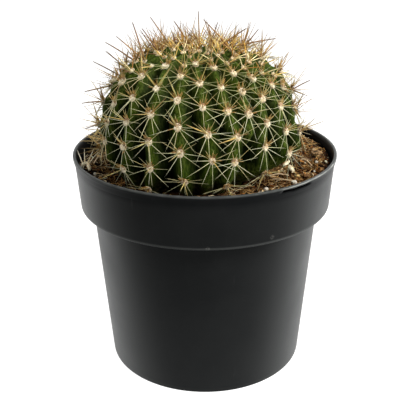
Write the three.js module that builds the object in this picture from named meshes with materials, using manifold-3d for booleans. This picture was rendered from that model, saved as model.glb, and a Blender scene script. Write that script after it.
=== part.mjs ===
import * as THREE from "three";
import { mergeVertices } from "three/addons/utils/BufferGeometryUtils.js";
import Module from "manifold-3d";

// A round ribbed cactus growing in a black plastic nursery pot.
// Millimetres, +Z up. The origin is the centre of the pot's foot, on the surface it stands on.
// The front of the plant faces -Y.

// ---------------------------------------------------------------- driving dimensions
const POT_HEIGHT = 130.4;
const POT_RIM_R = 76.2; // outer radius at the top of the rim band, just under the lip
const POT_LIP_R = 77.0; // outer radius of the lip, which flares a little from the band
const POT_LIP_DROP = 4.4; // height over which it flares
const POT_BAND_LOW_R = 73.75; // outer radius at the bottom of the rim band
const POT_BAND_LOW_Z = 100.06; // lower edge of the rim band
const POT_BODY_TOP_R = 67.33; // body radius just under the band
const POT_FOOT_R = 59.51; // body radius at the foot
const POT_WALL = 1.6;
const POT_FLOOR_RECESS = 1.8; // the floor is lifted off the surface inside the foot ring
const POT_FLOOR_THICK = 1.8;
const POT_FOOT_RING_R = 51.5; // inner radius of the flat foot ring
const DRAIN_HOLES = 8;
const DRAIN_HOLE_R = 4.5;
const DRAIN_CIRCLE_R = 42;
const POT_SEGMENTS = 64;

const SOIL_Z = 124.5; // level of the potting mix
const SOIL_EDGE_R = 73.3; // the mix has shrunk a little from the wall
const SOIL_WALL_GAP = 0.35;
const SOIL_FLOOR_GAP = 0.3;

const STEM_X = -2.8;
const STEM_Y = -14.0; // the plant stands forward of the pot's axis
const STEM_EQUATOR_Z = 140.5; // the widest level
const STEM_R = 55.6; // radius over the rib crests at the widest level
const STEM_UP = 51.2; // height of the dome above the widest level
const STEM_POWER = 2.55; // squareness of the dome's outline
const STEM_LEAN_X = 0.02;
const STEM_LEAN_Y = 0.012;
const BASE_DROP = 16; // widest level down to the potting mix
const BASE_POWER = 1.6;
const ROOT_X = -10;
const ROOT_Y = -17;
const ROOT_R = 9;
const ROOT_TIP_Z = 84;
const RIB_SLOPE = 1.05; // how steeply a rib's flank falls from its crest
const RIB_CREST = 1.5; // roundness of a rib's crest

const AREOLE_R = 1.6; // felt cushion, without its spines
const AREOLE_LOW = 0.4; // underside of a cushion, clear of the skin
const AREOLE_MID = 0.75; // its edge
const AREOLE_TOP = 2.3;
const RADIAL_SPINES = 5; // the stout ones
const RADIAL_LENGTH = 13;
const CENTRAL_LENGTH = 15;
const SPINE_BASE_R = 0.5;
const CROSSING = 1.6; // height over the skin at which a spine crosses the next cushion
const SPINE_REACH = 76.0; // no spine leaves the pot's footprint
const REST_GAP = 0.3; // between loose pieces and what they lie on

// How far the underside of the plant draws in by the level of the mix, by azimuth (degrees, from -Y towards +X).
const TUCK = [
  [-180, 22],
  [-120, 16],
  [-75, 10],
  [-45, 8],
  [-10, 9],
  [17, 12],
  [38, 19],
  [60, 21],
  [83, 18],
  [120, 16],
  [180, 20],
];

// Rib crests: [azimuth, height] points down each rib, and the height where an inserted rib fades out.
// The listed points that carry areoles come first; hidden ribs get theirs by spacing.
const RIBS = [
  { path: [[-66.5, 178], [-61.5, 168], [-63, 157.5], [-65.8, 147], [-66, 130]], areoles: 4 },
  { path: [[-49.1, 183], [-45.3, 174], [-44.3, 162], [-44.9, 149], [-47.1, 136]], areoles: 5 },
  { path: [[-35.8, 188], [-29.9, 179], [-28.4, 168], [-27.5, 155], [-26.4, 141], [-28.5, 129]], areoles: 6 },
  { path: [[-15.7, 185], [-13.7, 176], [-11.6, 163], [-9.8, 151], [-7.6, 135]], areoles: 5 },
  { path: [[-4.7, 189], [-0.3, 182], [1.8, 173], [4.5, 160], [6.9, 147], [4.0, 131]], areoles: 5 },
  { path: [[13.5, 188], [14.5, 181], [16.3, 170], [20.8, 158], [18.9, 145], [16.4, 131]], areoles: 6 },
  { path: [[29.0, 185], [28.7, 178], [28.6, 168], [29, 157]], areoles: 3, fade: 158 },
  { path: [[43.2, 182], [41.6, 173], [40.3, 162], [37.6, 150], [38.1, 136]], areoles: 5 },
  { path: [[57.4, 177], [55.5, 167], [55.9, 155], [59.7, 142], [60, 130]], areoles: 4 },
  { path: [[71.3, 174], [75.2, 163], [81, 148], [82, 134]], areoles: 3 },
  { path: [[88, 186], [95, 170], [101, 150], [101, 130]] },
  { path: [[106, 186], [114, 168], [120, 148], [120.5, 130]] },
  { path: [[124, 186], [132, 168], [139, 148], [140, 130]] },
  { path: [[145, 186], [148, 172], [149.5, 160]], fade: 161 },
  { path: [[163, 186], [160, 168], [158.6, 148], [159, 130]] },
  { path: [[183, 186], [179, 168], [178, 148], [178.5, 130]] },
  { path: [[200, 186], [198.5, 168], [197.2, 148], [197.6, 130]] },
  { path: [[217, 186], [217, 168], [216.5, 148], [217, 130]] },
  { path: [[232, 186], [235, 168], [236.6, 148], [236, 130]] },
  { path: [[246, 186], [246.5, 173], [247, 160]], fade: 160 },
  { path: [[260, 186], [257, 168], [255.2, 148], [255.5, 130]] },
  { path: [[275.5, 186], [276, 168], [274.3, 148], [274.7, 130]] },
];
const AREOLE_ARCS = [0, 11, 24, 38, 52, 65.5, 79]; // spacing down a hidden rib, from its first areole
const CROWN_AREOLES = 12;

// ---------------------------------------------------------------- helpers
const RAD = Math.PI / 180;
const clamp = (v, a, b) => Math.min(b, Math.max(a, v));
const lerp = (a, b, t) => a + (b - a) * t;

function interp(table, x) {
  if (x <= table[0][0]) return table[0][1];
  for (let i = 1; i < table.length; i++)
    if (x <= table[i][0]) {
      const [x0, y0] = table[i - 1];
      const [x1, y1] = table[i];
      return lerp(y0, y1, (x - x0) / (x1 - x0));
    }
  return table[table.length - 1][1];
}

// A small repeatable random source.
function randomFrom(seed) {
  let s = seed >>> 0;
  return () => {
    s = (Math.imul(s, 1664525) + 1013904223) >>> 0;
    return s / 4294967296;
  };
}

const wasm = await Module();
wasm.setup();

function toSolid(geometry) {
  const g = geometry.clone();
  g.deleteAttribute("normal");
  if (g.getAttribute("uv")) g.deleteAttribute("uv");
  const merged = mergeVertices(g, 1e-4);
  return new wasm.Manifold(
    new wasm.Mesh({
      numProp: 3,
      vertProperties: new Float32Array(merged.attributes.position.array),
      triVerts: new Uint32Array(merged.index.array),
    }),
  );
}

function toGeometry(solid) {
  const mesh = solid.getMesh();
  const g = new THREE.BufferGeometry();
  g.setAttribute("position", new THREE.BufferAttribute(new Float32Array(mesh.vertProperties), 3));
  g.setIndex(new THREE.BufferAttribute(new Uint32Array(mesh.triVerts), 1));
  g.computeVertexNormals();
  return g;
}

// Joins solids two by two, so that no step holds one huge operand and one tiny one.
function joinAll(list) {
  let row = list;
  while (row.length > 1) {
    const next = [];
    for (let i = 0; i < row.length; i += 2)
      next.push(i + 1 < row.length ? row[i].add(row[i + 1]) : row[i]);
    row = next;
  }
  return row[0];
}

// ---------------------------------------------------------------- the shape of the plant
const crestAzimuths = RIBS.map((rib) => rib.path.map(([a, z]) => [z, a]).sort((p, q) => p[0] - q[0]));

function crestRadius(az, z) {
  let r;
  if (z >= STEM_EQUATOR_Z) {
    const s = clamp((z - STEM_EQUATOR_Z) / STEM_UP, 0, 1);
    r = STEM_R * Math.pow(Math.max(1 - Math.pow(s, STEM_POWER), 0), 1 / STEM_POWER);
  } else {
    const d = (STEM_EQUATOR_Z - z) / BASE_DROP;
    r = STEM_R - interp(TUCK, wrap(az)) * Math.pow(d, BASE_POWER);
  }
  const a = wrap(az);
  return r + 3 * Math.exp(-(((a - 85) / 22) ** 2)) * Math.exp(-(((z - 139) / 12) ** 2));
}

function wrap(deg) {
  return ((((deg + 180) % 360) + 360) % 360) - 180;
}

// Depth below the crest surface at an azimuth, from the nearest rib.
function ribDepth(az, rc, z) {
  let best = 1e9;
  RIBS.forEach((rib, i) => {
    const a = interp(crestAzimuths[i], z);
    const d = rc * Math.abs(wrap(az - a)) * RAD;
    let h = Math.hypot(RIB_SLOPE * d, RIB_CREST) - RIB_CREST;
    if (rib.fade !== undefined) h += Math.max(0, (rib.fade - z) * 0.9);
    if (h < best) best = h;
  });
  return best;
}

function stemPoint(az, z, r) {
  return new THREE.Vector3(
    STEM_X + STEM_LEAN_X * (z - STEM_EQUATOR_Z) + r * Math.sin(az * RAD),
    STEM_Y + STEM_LEAN_Y * (z - STEM_EQUATOR_Z) - r * Math.cos(az * RAD),
    z,
  );
}

// Rows of the stem from its crown to the tip of its root.
const STEM_ROWS = [];
for (const phi of [84, 77, 69, 60, 51, 42, 33, 24, 15, 7, 0]) {
  const s = Math.pow(Math.sin(phi * RAD), 2 / STEM_POWER);
  STEM_ROWS.push({ z: STEM_EQUATOR_Z + STEM_UP * s });
}
for (const drop of [4, 8, 12, 16]) STEM_ROWS.push({ z: STEM_EQUATOR_Z - drop });
for (const [z, t, r] of [
  [119, 0.35, 22],
  [113, 0.75, 13],
  [106, 1, ROOT_R],
  [95, 1, 6],
  [88, 1, 3],
])
  STEM_ROWS.push({ z, buried: t, r });

// The ribbed stem, grown outwards by grow (the mix is cut with a grown copy of it).
function stemGeometry(grow) {
  const perRib = 2; // crest and valley
  const columns = RIBS.length * perRib;
  const rows = STEM_ROWS.length + 2;
  const outline = [];
  for (let j = 0; j < rows; j++)
    outline.push(new THREE.Vector2(j === 0 || j === rows - 1 ? 0 : 10, rows - j));
  const g = new THREE.LatheGeometry(outline.reverse(), columns);
  const position = g.getAttribute("position");
  for (let c = 0; c <= columns; c++)
    for (let k = 0; k < rows; k++) {
      const j = rows - 1 - k; // row counted from the crown
      const index = c * rows + k;
      let p;
      if (j === 0) p = stemPoint(0, STEM_EQUATOR_Z + STEM_UP + grow, 0);
      else if (j === rows - 1) p = new THREE.Vector3(ROOT_X, ROOT_Y, ROOT_TIP_Z - grow);
      else {
        const row = STEM_ROWS[j - 1];
        const level = Math.max(row.z, STEM_EQUATOR_Z - BASE_DROP);
        const i = Math.floor((c % columns) / perRib);
        const part = ((c % columns) % perRib) / perRib;
        const a0 = interp(crestAzimuths[i], level);
        let a1 = interp(crestAzimuths[(i + 1) % RIBS.length], level);
        while (a1 < a0) a1 += 360;
        const az = lerp(a0, a1, part);
        const rc = crestRadius(az, level);
        const r = Math.max(rc - ribDepth(az, rc, level), 1) + grow;
        p = stemPoint(az, level, r);
        if (row.buried !== undefined) {
          const rr = row.r + grow;
          const round = new THREE.Vector3(
            ROOT_X + rr * Math.sin(az * RAD),
            ROOT_Y - rr * Math.cos(az * RAD),
            row.z,
          );
          p = new THREE.Vector3(
            lerp(p.x, round.x, row.buried),
            lerp(p.y, round.y, row.buried),
            row.z,
          );
        }
      }
      position.setXYZ(index, p.x, p.y, p.z);
    }
  return g;
}

// Height on the dome for an arc length measured down from the crown.
const ARC = [];
{
  let s = 0;
  let last = null;
  for (let k = 0; k <= 900; k++) {
    const phi = 90 - k * 0.1;
    const z = STEM_EQUATOR_Z + STEM_UP * Math.pow(Math.sin(phi * RAD), 2 / STEM_POWER);
    const r = crestRadius(-90, z);
    if (last) s += Math.hypot(r - last[0], z - last[1]);
    ARC.push([s, z]);
    last = [r, z];
  }
  for (let z = STEM_EQUATOR_Z - 0.5; z > 124; z -= 0.5) {
    const r = crestRadius(-90, z);
    s += Math.hypot(r - last[0], z - last[1]);
    ARC.push([s, z]);
    last = [r, z];
  }
}

// All areoles: azimuth and height on the crests, or the crown's tight spiral.
const areoles = [];
RIBS.forEach((rib, i) => {
  if (rib.areoles) {
    for (let k = 0; k < rib.areoles; k++)
      areoles.push({ az: rib.path[k][0], z: rib.path[k][1] });
    return;
  }
  const first = 22 + 13 * ((i * 0.29) % 1) - 11;
  for (const step of AREOLE_ARCS) {
    const s = first + step;
    const z = interp(ARC, s);
    if (s < 19 || z < 131 || (rib.fade !== undefined && z < rib.fade + 6)) continue;
    areoles.push({ az: interp(crestAzimuths[i], z), z });
  }
});
for (let k = 0; k < CROWN_AREOLES; k++) {
  const r = 5.2 * Math.sqrt(k + 0.6);
  areoles.push({ az: k * 137.508, z: interp(ARC, r), crown: true, rank: k });
}

function areoleFrame({ az, z }) {
  const at = (a, h) => stemPoint(a, h, crestRadius(a, h));
  const p = at(az, z);
  const down = at(az, z - 0.4).sub(at(az, Math.min(z + 0.4, STEM_EQUATOR_Z + STEM_UP - 0.02))).normalize();
  const side = new THREE.Vector3(Math.cos(az * RAD), Math.sin(az * RAD), 0);
  const out = new THREE.Vector3().crossVectors(side, down).normalize();
  if (out.dot(new THREE.Vector3(Math.sin(az * RAD), -Math.cos(az * RAD), 0.4)) < 0) out.negate();
  return { p, down, side, out };
}

// An areole: a felt cushion whose rim runs out into radial spines, as one closed star.
// Its waist alternates between spine tips and the cushion's own edge.
function areoleGeometry({ p, side, out }, tips) {
  const n = tips.length;
  const up = new THREE.Vector3().crossVectors(side, out);
  const g = new THREE.SphereGeometry(1, 2 * n, 2);
  const position = g.getAttribute("position");
  const place = (x, y, z) => p.clone().addScaledVector(side, x).addScaledVector(out, y).addScaledVector(up, z);
  for (let row = 0; row <= 2; row++)
    for (let k = 0; k <= 2 * n; k++) {
      let v;
      if (row === 0) v = place(0, AREOLE_TOP, 0);
      else if (row === 2) v = place(0, AREOLE_LOW, 0);
      else if (k % 2 === 0) v = tips[(k / 2) % n];
      else {
        const u = (k / (2 * n)) * 2 * Math.PI;
        v = place(-Math.cos(u) * AREOLE_R, AREOLE_MID, Math.sin(u) * AREOLE_R);
      }
      position.setXYZ(row * (2 * n + 1) + k, v.x, v.y, v.z);
    }
  return g;
}

function spineGeometry(base, direction, length, radius) {
  const g = new THREE.ConeGeometry(radius, length, 3);
  g.translate(0, length / 2, 0);
  const q = new THREE.Quaternion().setFromUnitVectors(new THREE.Vector3(0, 1, 0), direction);
  return g.applyQuaternion(q).translate(base.x, base.y, base.z);
}

function strand(points, radius, sides = 5, steps = 5) {
  const outline = new THREE.Shape();
  for (let k = 0; k < sides; k++) {
    const a = (k / sides) * 2 * Math.PI;
    if (k === 0) outline.moveTo(radius * Math.cos(a), radius * Math.sin(a));
    else outline.lineTo(radius * Math.cos(a), radius * Math.sin(a));
  }
  outline.closePath();
  return new THREE.ExtrudeGeometry(outline, {
    steps,
    bevelEnabled: false,
    extrudePath: new THREE.CatmullRomCurve3(points.map(([x, y, z]) => new THREE.Vector3(x, y, z))),
  });
}

// Shortens a spine until its tip is clear of the mix, the pot's rim and the footprint.
function fits(base, direction, length) {
  for (let f = 0.15; f <= 1.001; f += 0.05) {
    const q = base.clone().addScaledVector(direction, length * f);
    const r = Math.hypot(q.x, q.y);
    if (q.z < SOIL_Z + 3) return false;
    if (q.z < POT_HEIGHT + 2 && r > 72.3) return false;
    if (Math.abs(q.x) > SPINE_REACH || Math.abs(q.y) > SPINE_REACH) return false;
  }
  return true;
}

// A spine from one cushion over the next: straight, or bowed where the skin bulges between them.
function crossingSpine(from, to) {
  const d = to.clone().sub(from);
  let short = 0;
  let outward = null;
  for (const f of [0.3, 0.4, 0.5, 0.6, 0.7]) {
    const q = from.clone().addScaledVector(d, f);
    const cx = STEM_X + STEM_LEAN_X * (q.z - STEM_EQUATOR_Z);
    const cy = STEM_Y + STEM_LEAN_Y * (q.z - STEM_EQUATOR_Z);
    const radial = new THREE.Vector3(q.x - cx, q.y - cy, 0);
    const az = Math.atan2(radial.x, -radial.y) / RAD;
    const gap = radial.length() - crestRadius(az, q.z);
    if (0.95 - gap > short && q.z < 170) {
      short = 0.95 - gap;
      outward = radial.normalize();
    }
  }
  if (!outward) {
    const length = d.length() + 0.4;
    return spineGeometry(from, d.normalize(), length, SPINE_BASE_R);
  }
  const middle = from.clone().addScaledVector(d, 0.5).addScaledVector(outward, short + 0.3);
  const end = to.clone().addScaledVector(d, 0.02);
  return strand([from, middle, end].map((v) => v.toArray()), 0.35, 3, 4);
}

// Down the plant from the crown, each areole has one spine that lies over the nearest cushion above it, so
// the clusters cross and touch as they do on the plant, and all of them hold together as one coat.
areoles.sort((a, b) => (b.crown ? 1000 - b.rank : b.z) - (a.crown ? 1000 - a.rank : a.z));

const random = randomFrom(20);
const plantPieces = [];
const placed = [];
for (const a of areoles) {
  const frame = areoleFrame(a);
  const { p, side, out } = frame;
  const up = new THREE.Vector3().crossVectors(side, out);
  const high = clamp((a.z - 150) / 35, 0, 1);
  const base = p.clone().addScaledVector(out, CROSSING);
  const fitted = (d, full) => {
    let length = full;
    while (length > 3 && !fits(base, d, length)) length *= 0.9;
    return length;
  };
  const count = a.crown ? 4 : RADIAL_SPINES;
  const tips = [];
  for (let k = 0; k < count; k++) {
    const u = ((k + (random() - 0.5) * 0.3) / count) * 2 * Math.PI;
    const lift = a.crown ? 1.6 : 0.2 + 0.1 * random() + 0.45 * high;
    const d = new THREE.Vector3()
      .addScaledVector(side, -Math.cos(u))
      .addScaledVector(up, Math.sin(u))
      .addScaledVector(out, lift)
      .normalize();
    const full = (a.crown ? 9 : RADIAL_LENGTH) * (0.88 + 0.24 * random());
    tips.push(base.clone().addScaledVector(d, fitted(d, full)));
  }
  plantPieces.push(toSolid(areoleGeometry(frame, tips)));
  if (placed.length) {
    let over = placed[0];
    for (const q of placed) if (q.distanceTo(base) < over.distanceTo(base)) over = q;
    plantPieces.push(toSolid(crossingSpine(base, over)));
  }
  placed.push(base);
  // an erect central spine on the younger areoles
  if (a.crown || a.z > 168) {
    const lean = new THREE.Vector3(random() - 0.5, random() - 0.5, 0).multiplyScalar(0.5);
    const d = out.clone().multiplyScalar(a.crown ? 0.3 : 1).add(new THREE.Vector3(0, 0, 0.9)).add(lean).normalize();
    const length = fitted(d, CENTRAL_LENGTH * (0.85 + 0.3 * random()));
    plantPieces.push(toSolid(spineGeometry(base, d, length, SPINE_BASE_R)));
  }
}
// The tallest young spine stands up from the middle of the crown.
{
  const top = stemPoint(0, STEM_EQUATOR_Z + STEM_UP, 0);
  const base = placed[0];
  const up = new THREE.Vector3(-0.06, 0.05, 1).normalize();
  plantPieces.push(toSolid(spineGeometry(base, up, (top.z + 20 - base.z) / up.z, SPINE_BASE_R)));
}
const stem = toSolid(stemGeometry(0));
const spines = joinAll(plantPieces);

// ---------------------------------------------------------------- the pot
function lathe(points, segments) {
  return new THREE.LatheGeometry(points.map(([r, z]) => new THREE.Vector2(r, z)), segments).rotateX(Math.PI / 2);
}

const floorTop = POT_FLOOR_RECESS + POT_FLOOR_THICK;
const bodyR = (z) => lerp(POT_FOOT_R, POT_BODY_TOP_R, z / (POT_BAND_LOW_Z - 1));
const potProfile = [
  [0, POT_FLOOR_RECESS],
  [POT_FOOT_RING_R - 1.5, POT_FLOOR_RECESS],
  [POT_FOOT_RING_R, 0],
  [POT_FOOT_R - 1.1, 0],
  [bodyR(1.2), 1.2],
  [POT_BODY_TOP_R, POT_BAND_LOW_Z - 1],
  [POT_BODY_TOP_R + 0.9, POT_BAND_LOW_Z - 0.3],
  [POT_BAND_LOW_R - 0.9, POT_BAND_LOW_Z],
  [POT_BAND_LOW_R, POT_BAND_LOW_Z + 1.3],
  [POT_RIM_R - 0.2, POT_HEIGHT - POT_LIP_DROP],
  [POT_LIP_R, POT_HEIGHT - POT_LIP_DROP / 2],
  [POT_LIP_R, POT_HEIGHT - 0.6],
  [POT_LIP_R - 0.4, POT_HEIGHT],
  [POT_LIP_R - POT_WALL + 0.3, POT_HEIGHT],
  [POT_LIP_R - POT_WALL, POT_HEIGHT - 0.5],
  [POT_RIM_R - POT_WALL - 0.2, POT_HEIGHT - POT_LIP_DROP],
  [POT_BAND_LOW_R - POT_WALL, POT_BAND_LOW_Z + 2.4],
  [POT_BAND_LOW_R - POT_WALL - 1, POT_BAND_LOW_Z + 1.5],
  [POT_BODY_TOP_R - POT_WALL + 0.6, POT_BAND_LOW_Z + 1.2],
  [POT_BODY_TOP_R - POT_WALL, POT_BAND_LOW_Z],
  [bodyR(8) - POT_WALL, 8],
  [bodyR(floorTop) - POT_WALL - 1.8, floorTop],
  [0, floorTop],
];
let pot = toSolid(lathe(potProfile, POT_SEGMENTS));
for (let k = 0; k < DRAIN_HOLES; k++) {
  const a = ((k + 0.5) / DRAIN_HOLES) * 2 * Math.PI;
  const hole = new THREE.CylinderGeometry(DRAIN_HOLE_R, DRAIN_HOLE_R, 8, 16)
    .rotateX(Math.PI / 2)
    .translate(DRAIN_CIRCLE_R * Math.cos(a), DRAIN_CIRCLE_R * Math.sin(a), 3);
  pot = pot.subtract(toSolid(hole));
}

// ---------------------------------------------------------------- the potting mix
const soilWave = (x, y) =>
  0.45 * Math.sin(0.19 * x + 0.7) * Math.cos(0.16 * y - 0.4) + 0.25 * Math.sin(0.41 * x - 0.33 * y);
const g0 = SOIL_WALL_GAP;
const soilGeometry = lathe(
  [
    [0, floorTop + SOIL_FLOOR_GAP],
    [bodyR(floorTop) - POT_WALL - 1.8 - g0, floorTop + SOIL_FLOOR_GAP],
    [bodyR(8) - POT_WALL - g0, 8.1],
    [POT_BODY_TOP_R - POT_WALL - g0 - 0.05, POT_BAND_LOW_Z + 0.2],
    [POT_BODY_TOP_R - POT_WALL + 0.5 - g0, POT_BAND_LOW_Z + 1.65],
    [POT_BAND_LOW_R - POT_WALL - 1 - g0, POT_BAND_LOW_Z + 2.0],
    [POT_BAND_LOW_R - POT_WALL - g0 - 0.1, POT_BAND_LOW_Z + 3],
    [SOIL_EDGE_R, SOIL_Z - 1.6],
    [SOIL_EDGE_R - 0.8, SOIL_Z],
    [63, SOIL_Z],
    [51, SOIL_Z],
    [36, SOIL_Z],
    [0, SOIL_Z],
  ],
  POT_SEGMENTS,
);
{
  const p = soilGeometry.getAttribute("position");
  for (let i = 0; i < p.count; i++)
    if (p.getZ(i) > SOIL_Z - 0.5) p.setZ(i, p.getZ(i) + soilWave(p.getX(i), p.getY(i)));
}
const soil = toSolid(soilGeometry).subtract(toSolid(stemGeometry(0.35)));

// ---------------------------------------------------------------- loose pieces on the mix
const soilMesh = new THREE.Mesh(toGeometry(soil), new THREE.MeshStandardMaterial({ side: THREE.DoubleSide }));
const probe = new THREE.Raycaster();
function soilHeight(x, y) {
  probe.set(new THREE.Vector3(x, y, SOIL_Z + 4), new THREE.Vector3(0, 0, -1));
  const hit = probe.intersectObject(soilMesh, false)[0];
  return hit ? hit.point.z : SOIL_Z;
}

// Lowers a piece until it is one small gap above the mix.
function layOnMix(geometry) {
  const p = geometry.getAttribute("position");
  let drop = Infinity;
  for (let i = 0; i < p.count; i++)
    drop = Math.min(drop, p.getZ(i) - soilHeight(p.getX(i), p.getY(i)));
  geometry.computeBoundingBox();
  const { min, max } = geometry.boundingBox;
  for (let x = min.x; x <= max.x; x += 0.5)
    for (let y = min.y; y <= max.y; y += 0.5) drop = Math.min(drop, min.z - soilHeight(x, y) + 0.6);
  return geometry.translate(0, 0, REST_GAP - drop);
}

function lump(radii, seed, detail = 0) {
  const rnd = randomFrom(seed);
  const g = mergeVertices(
    (() => {
      const s = new THREE.IcosahedronGeometry(1, detail);
      s.deleteAttribute("normal");
      s.deleteAttribute("uv");
      return s;
    })(),
    1e-4,
  );
  const p = g.getAttribute("position");
  for (let i = 0; i < p.count; i++) {
    const f = 0.9 + 0.24 * rnd();
    p.setXYZ(i, p.getX(i) * f * radii[0], p.getY(i) * f * radii[1], p.getZ(i) * f * radii[2]);
  }
  return g;
}

function chip(length, width, thick, seed) {
  // a split sliver: an outline with one pointed and one blunt end
  const rnd = randomFrom(seed);
  const w = width / 2;
  const l = length / 2;
  const shape = new THREE.Shape([
    new THREE.Vector2(-l, -w * (0.3 + 0.3 * rnd())),
    new THREE.Vector2(-l * 0.4, -w),
    new THREE.Vector2(l * 0.5, -w * 0.9),
    new THREE.Vector2(l, -w * 0.2 * rnd()),
    new THREE.Vector2(l * 0.8, w * 0.6),
    new THREE.Vector2(0, w),
    new THREE.Vector2(-l * 0.9, w * 0.7),
  ]);
  return new THREE.ExtrudeGeometry(shape, {
    depth: thick,
    bevelEnabled: true,
    bevelSize: thick * 0.25,
    bevelThickness: thick * 0.25,
    bevelSegments: 1,
  });
}

const colours = {
  pot: [0x17191a, 0.5],
  mix: [0x4a2f1e, 0.95],
  stem: [0x3f6b35, 0.55],
  spine: [0xc2a06a, 0.5],
  perlite: [0xe9e6dc, 0.9],
  wood: [0xd9c7a0, 0.85],
  straw: [0xb79a6a, 0.85],
  bark: [0x5a3a26, 0.9],
  wool: [0xc9ad7d, 0.95],
};
const group = new THREE.Group();
function piece(name, geometry, [colour, roughness]) {
  const mesh = new THREE.Mesh(
    geometry,
    new THREE.MeshStandardMaterial({ color: colour, roughness, metalness: 0 }),
  );
  mesh.name = name;
  group.add(mesh);
  return mesh;
}

piece("nursery_pot", toGeometry(pot), colours.pot);
piece("potting_mix", toGeometry(soil), colours.mix);
piece("cactus_stem", toGeometry(stem), colours.stem);
piece("cactus_spines", toGeometry(spines), colours.spine);

// white perlite grains: [x, y, half sizes]
[
  [28.8, -35.8, [1.3, 1.0, 0.9]],
  [32.1, -54.3, [1.7, 1.6, 1.4]],
  [28.6, -59.2, [1.9, 1.1, 0.9]],
  [47.6, -46.2, [2.3, 1.7, 1.5]],
  [64.3, -12.2, [1.3, 1.1, 1.0]],
  [66.1, 9.7, [1.9, 1.0, 0.9]],
  [-60.9, -31.0, [1.2, 1.2, 1.1]],
  [60.9, -27.6, [0.9, 0.9, 0.8]],
].forEach(([x, y, half], k) => {
  piece(`perlite_grain_${k + 1}`, layOnMix(lump(half, 11 + k).translate(x, y, SOIL_Z + 6)), colours.perlite);
});

// pale split wood
[
  [48.4, -24.0, 11.5, 3.4, 1.1, 97],
  [46.9, -14.6, 8.0, 2.6, 1.0, 66],
].forEach(([x, y, length, width, thick, turn], k) => {
  piece(
    `wood_chip_${k + 1}`,
    layOnMix(chip(length, width, thick, 31 + k).rotateZ(turn * RAD).translate(x, y, SOIL_Z + 6)),
    colours.wood,
  );
});

// bark: flakes and a round knot
[
  [57.5, -33.5, 8.0, 4.6, 1.5, 20],
  [-46.5, 48.0, 10.0, 5.5, 1.7, 130],
  [12.0, 61.5, 9.0, 5.0, 1.6, 15],
  [56.0, 34.0, 7.5, 4.4, 1.5, 75],
].forEach(([x, y, length, width, thick, turn], k) => {
  piece(
    `bark_flake_${k + 1}`,
    layOnMix(chip(length, width, thick, 51 + k).rotateZ(turn * RAD).translate(x, y, SOIL_Z + 6)),
    colours.bark,
  );
});
piece("bark_knot", layOnMix(lump([3.4, 3.2, 1.3], 77, 1).translate(66.2, 1.2, SOIL_Z + 6)), colours.bark);

// straws and a twig lying on the mix
[
  [[[35.6, -34.2, 0.3], [40.5, -33.6, 0.9], [46.0, -34.4, 0.4]], 0.45, colours.straw],
  [[[36.6, -39.6, 0.2], [42.0, -41.8, 0.7], [47.4, -42.6, 0.3]], 0.4, colours.straw],
  [[[54.0, -6.0, 0.2], [58.5, -10.5, 1.2], [61.0, -17.0, 0.2]], 0.38, colours.straw],
  [[[-58.0, 2.0, 0.2], [-63.0, -5.0, 1.0], [-64.0, -12.0, 0.2]], 0.4, colours.straw],
  [[[52.4, -2.5, 0.4], [52.3, -9.0, 0.9], [51.8, -15.5, 0.3]], 0.8, colours.bark],
].forEach(([points, radius, colour], k) => {
  const g = strand(points.map(([x, y, z]) => [x, y, z + SOIL_Z + 6]), radius);
  piece(k === 4 ? "fallen_twig" : `straw_${k + 1}`, layOnMix(g), colour);
});

// A dead areole with its spines, dropped beside the rim: an arch of felt with spines rising from it.
{
  const arch = strand(
    [
      [-69.3, -22.6, SOIL_Z + 1.9],
      [-68.6, -21.2, SOIL_Z + 4.4],
      [-66.6, -21.4, SOIL_Z + 5.0],
      [-65.2, -23.4, SOIL_Z + 3.8],
      [-64.6, -25.2, SOIL_Z + 1.9],
    ],
    1.1,
    7,
    10,
  );
  const parts = [toSolid(arch)];
  for (const [from, to] of [
    [[-68.8, -21.4, 4.2], [-73.2, -11.5, 9.6]],
    [[-67.6, -21.2, 4.8], [-68.4, -15.0, 11.5]],
    [[-66.0, -22.0, 4.8], [-62.6, -14.5, 12.0]],
    [[-65.6, -22.8, 4.3], [-60.5, -17.0, 9.8]],
  ]) {
    const a = new THREE.Vector3(from[0], from[1], from[2] + SOIL_Z);
    const b = new THREE.Vector3(to[0], to[1], to[2] + SOIL_Z);
    const d = b.clone().sub(a);
    const length = d.length();
    parts.push(toSolid(spineGeometry(a, d.normalize(), length, 0.45)));
  }
  piece("fallen_spine_cluster", layOnMix(toGeometry(joinAll(parts))), colours.wool);
}

export default group;
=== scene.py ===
import math

import bpy
import numpy as np
from mathutils import Matrix, Vector
from mathutils.bvhtree import BVHTree


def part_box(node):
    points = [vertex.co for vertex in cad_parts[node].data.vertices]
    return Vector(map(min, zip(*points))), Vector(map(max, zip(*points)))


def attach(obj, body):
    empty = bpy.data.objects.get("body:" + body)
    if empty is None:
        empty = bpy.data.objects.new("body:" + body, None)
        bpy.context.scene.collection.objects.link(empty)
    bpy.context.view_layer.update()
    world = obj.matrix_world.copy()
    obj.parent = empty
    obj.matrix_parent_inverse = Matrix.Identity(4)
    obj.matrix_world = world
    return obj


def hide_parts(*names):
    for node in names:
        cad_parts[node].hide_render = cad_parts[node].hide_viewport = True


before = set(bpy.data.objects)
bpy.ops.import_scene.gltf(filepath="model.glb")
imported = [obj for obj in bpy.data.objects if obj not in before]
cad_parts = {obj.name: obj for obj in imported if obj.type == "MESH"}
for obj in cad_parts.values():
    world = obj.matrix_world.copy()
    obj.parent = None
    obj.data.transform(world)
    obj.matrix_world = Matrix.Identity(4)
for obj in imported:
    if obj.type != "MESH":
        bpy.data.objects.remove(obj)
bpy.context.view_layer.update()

# A round ribbed cactus in a black plastic nursery pot.
# Shapes are worked out in millimetres and written in metres.
MM = 0.001
RAD = math.pi / 180

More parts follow.
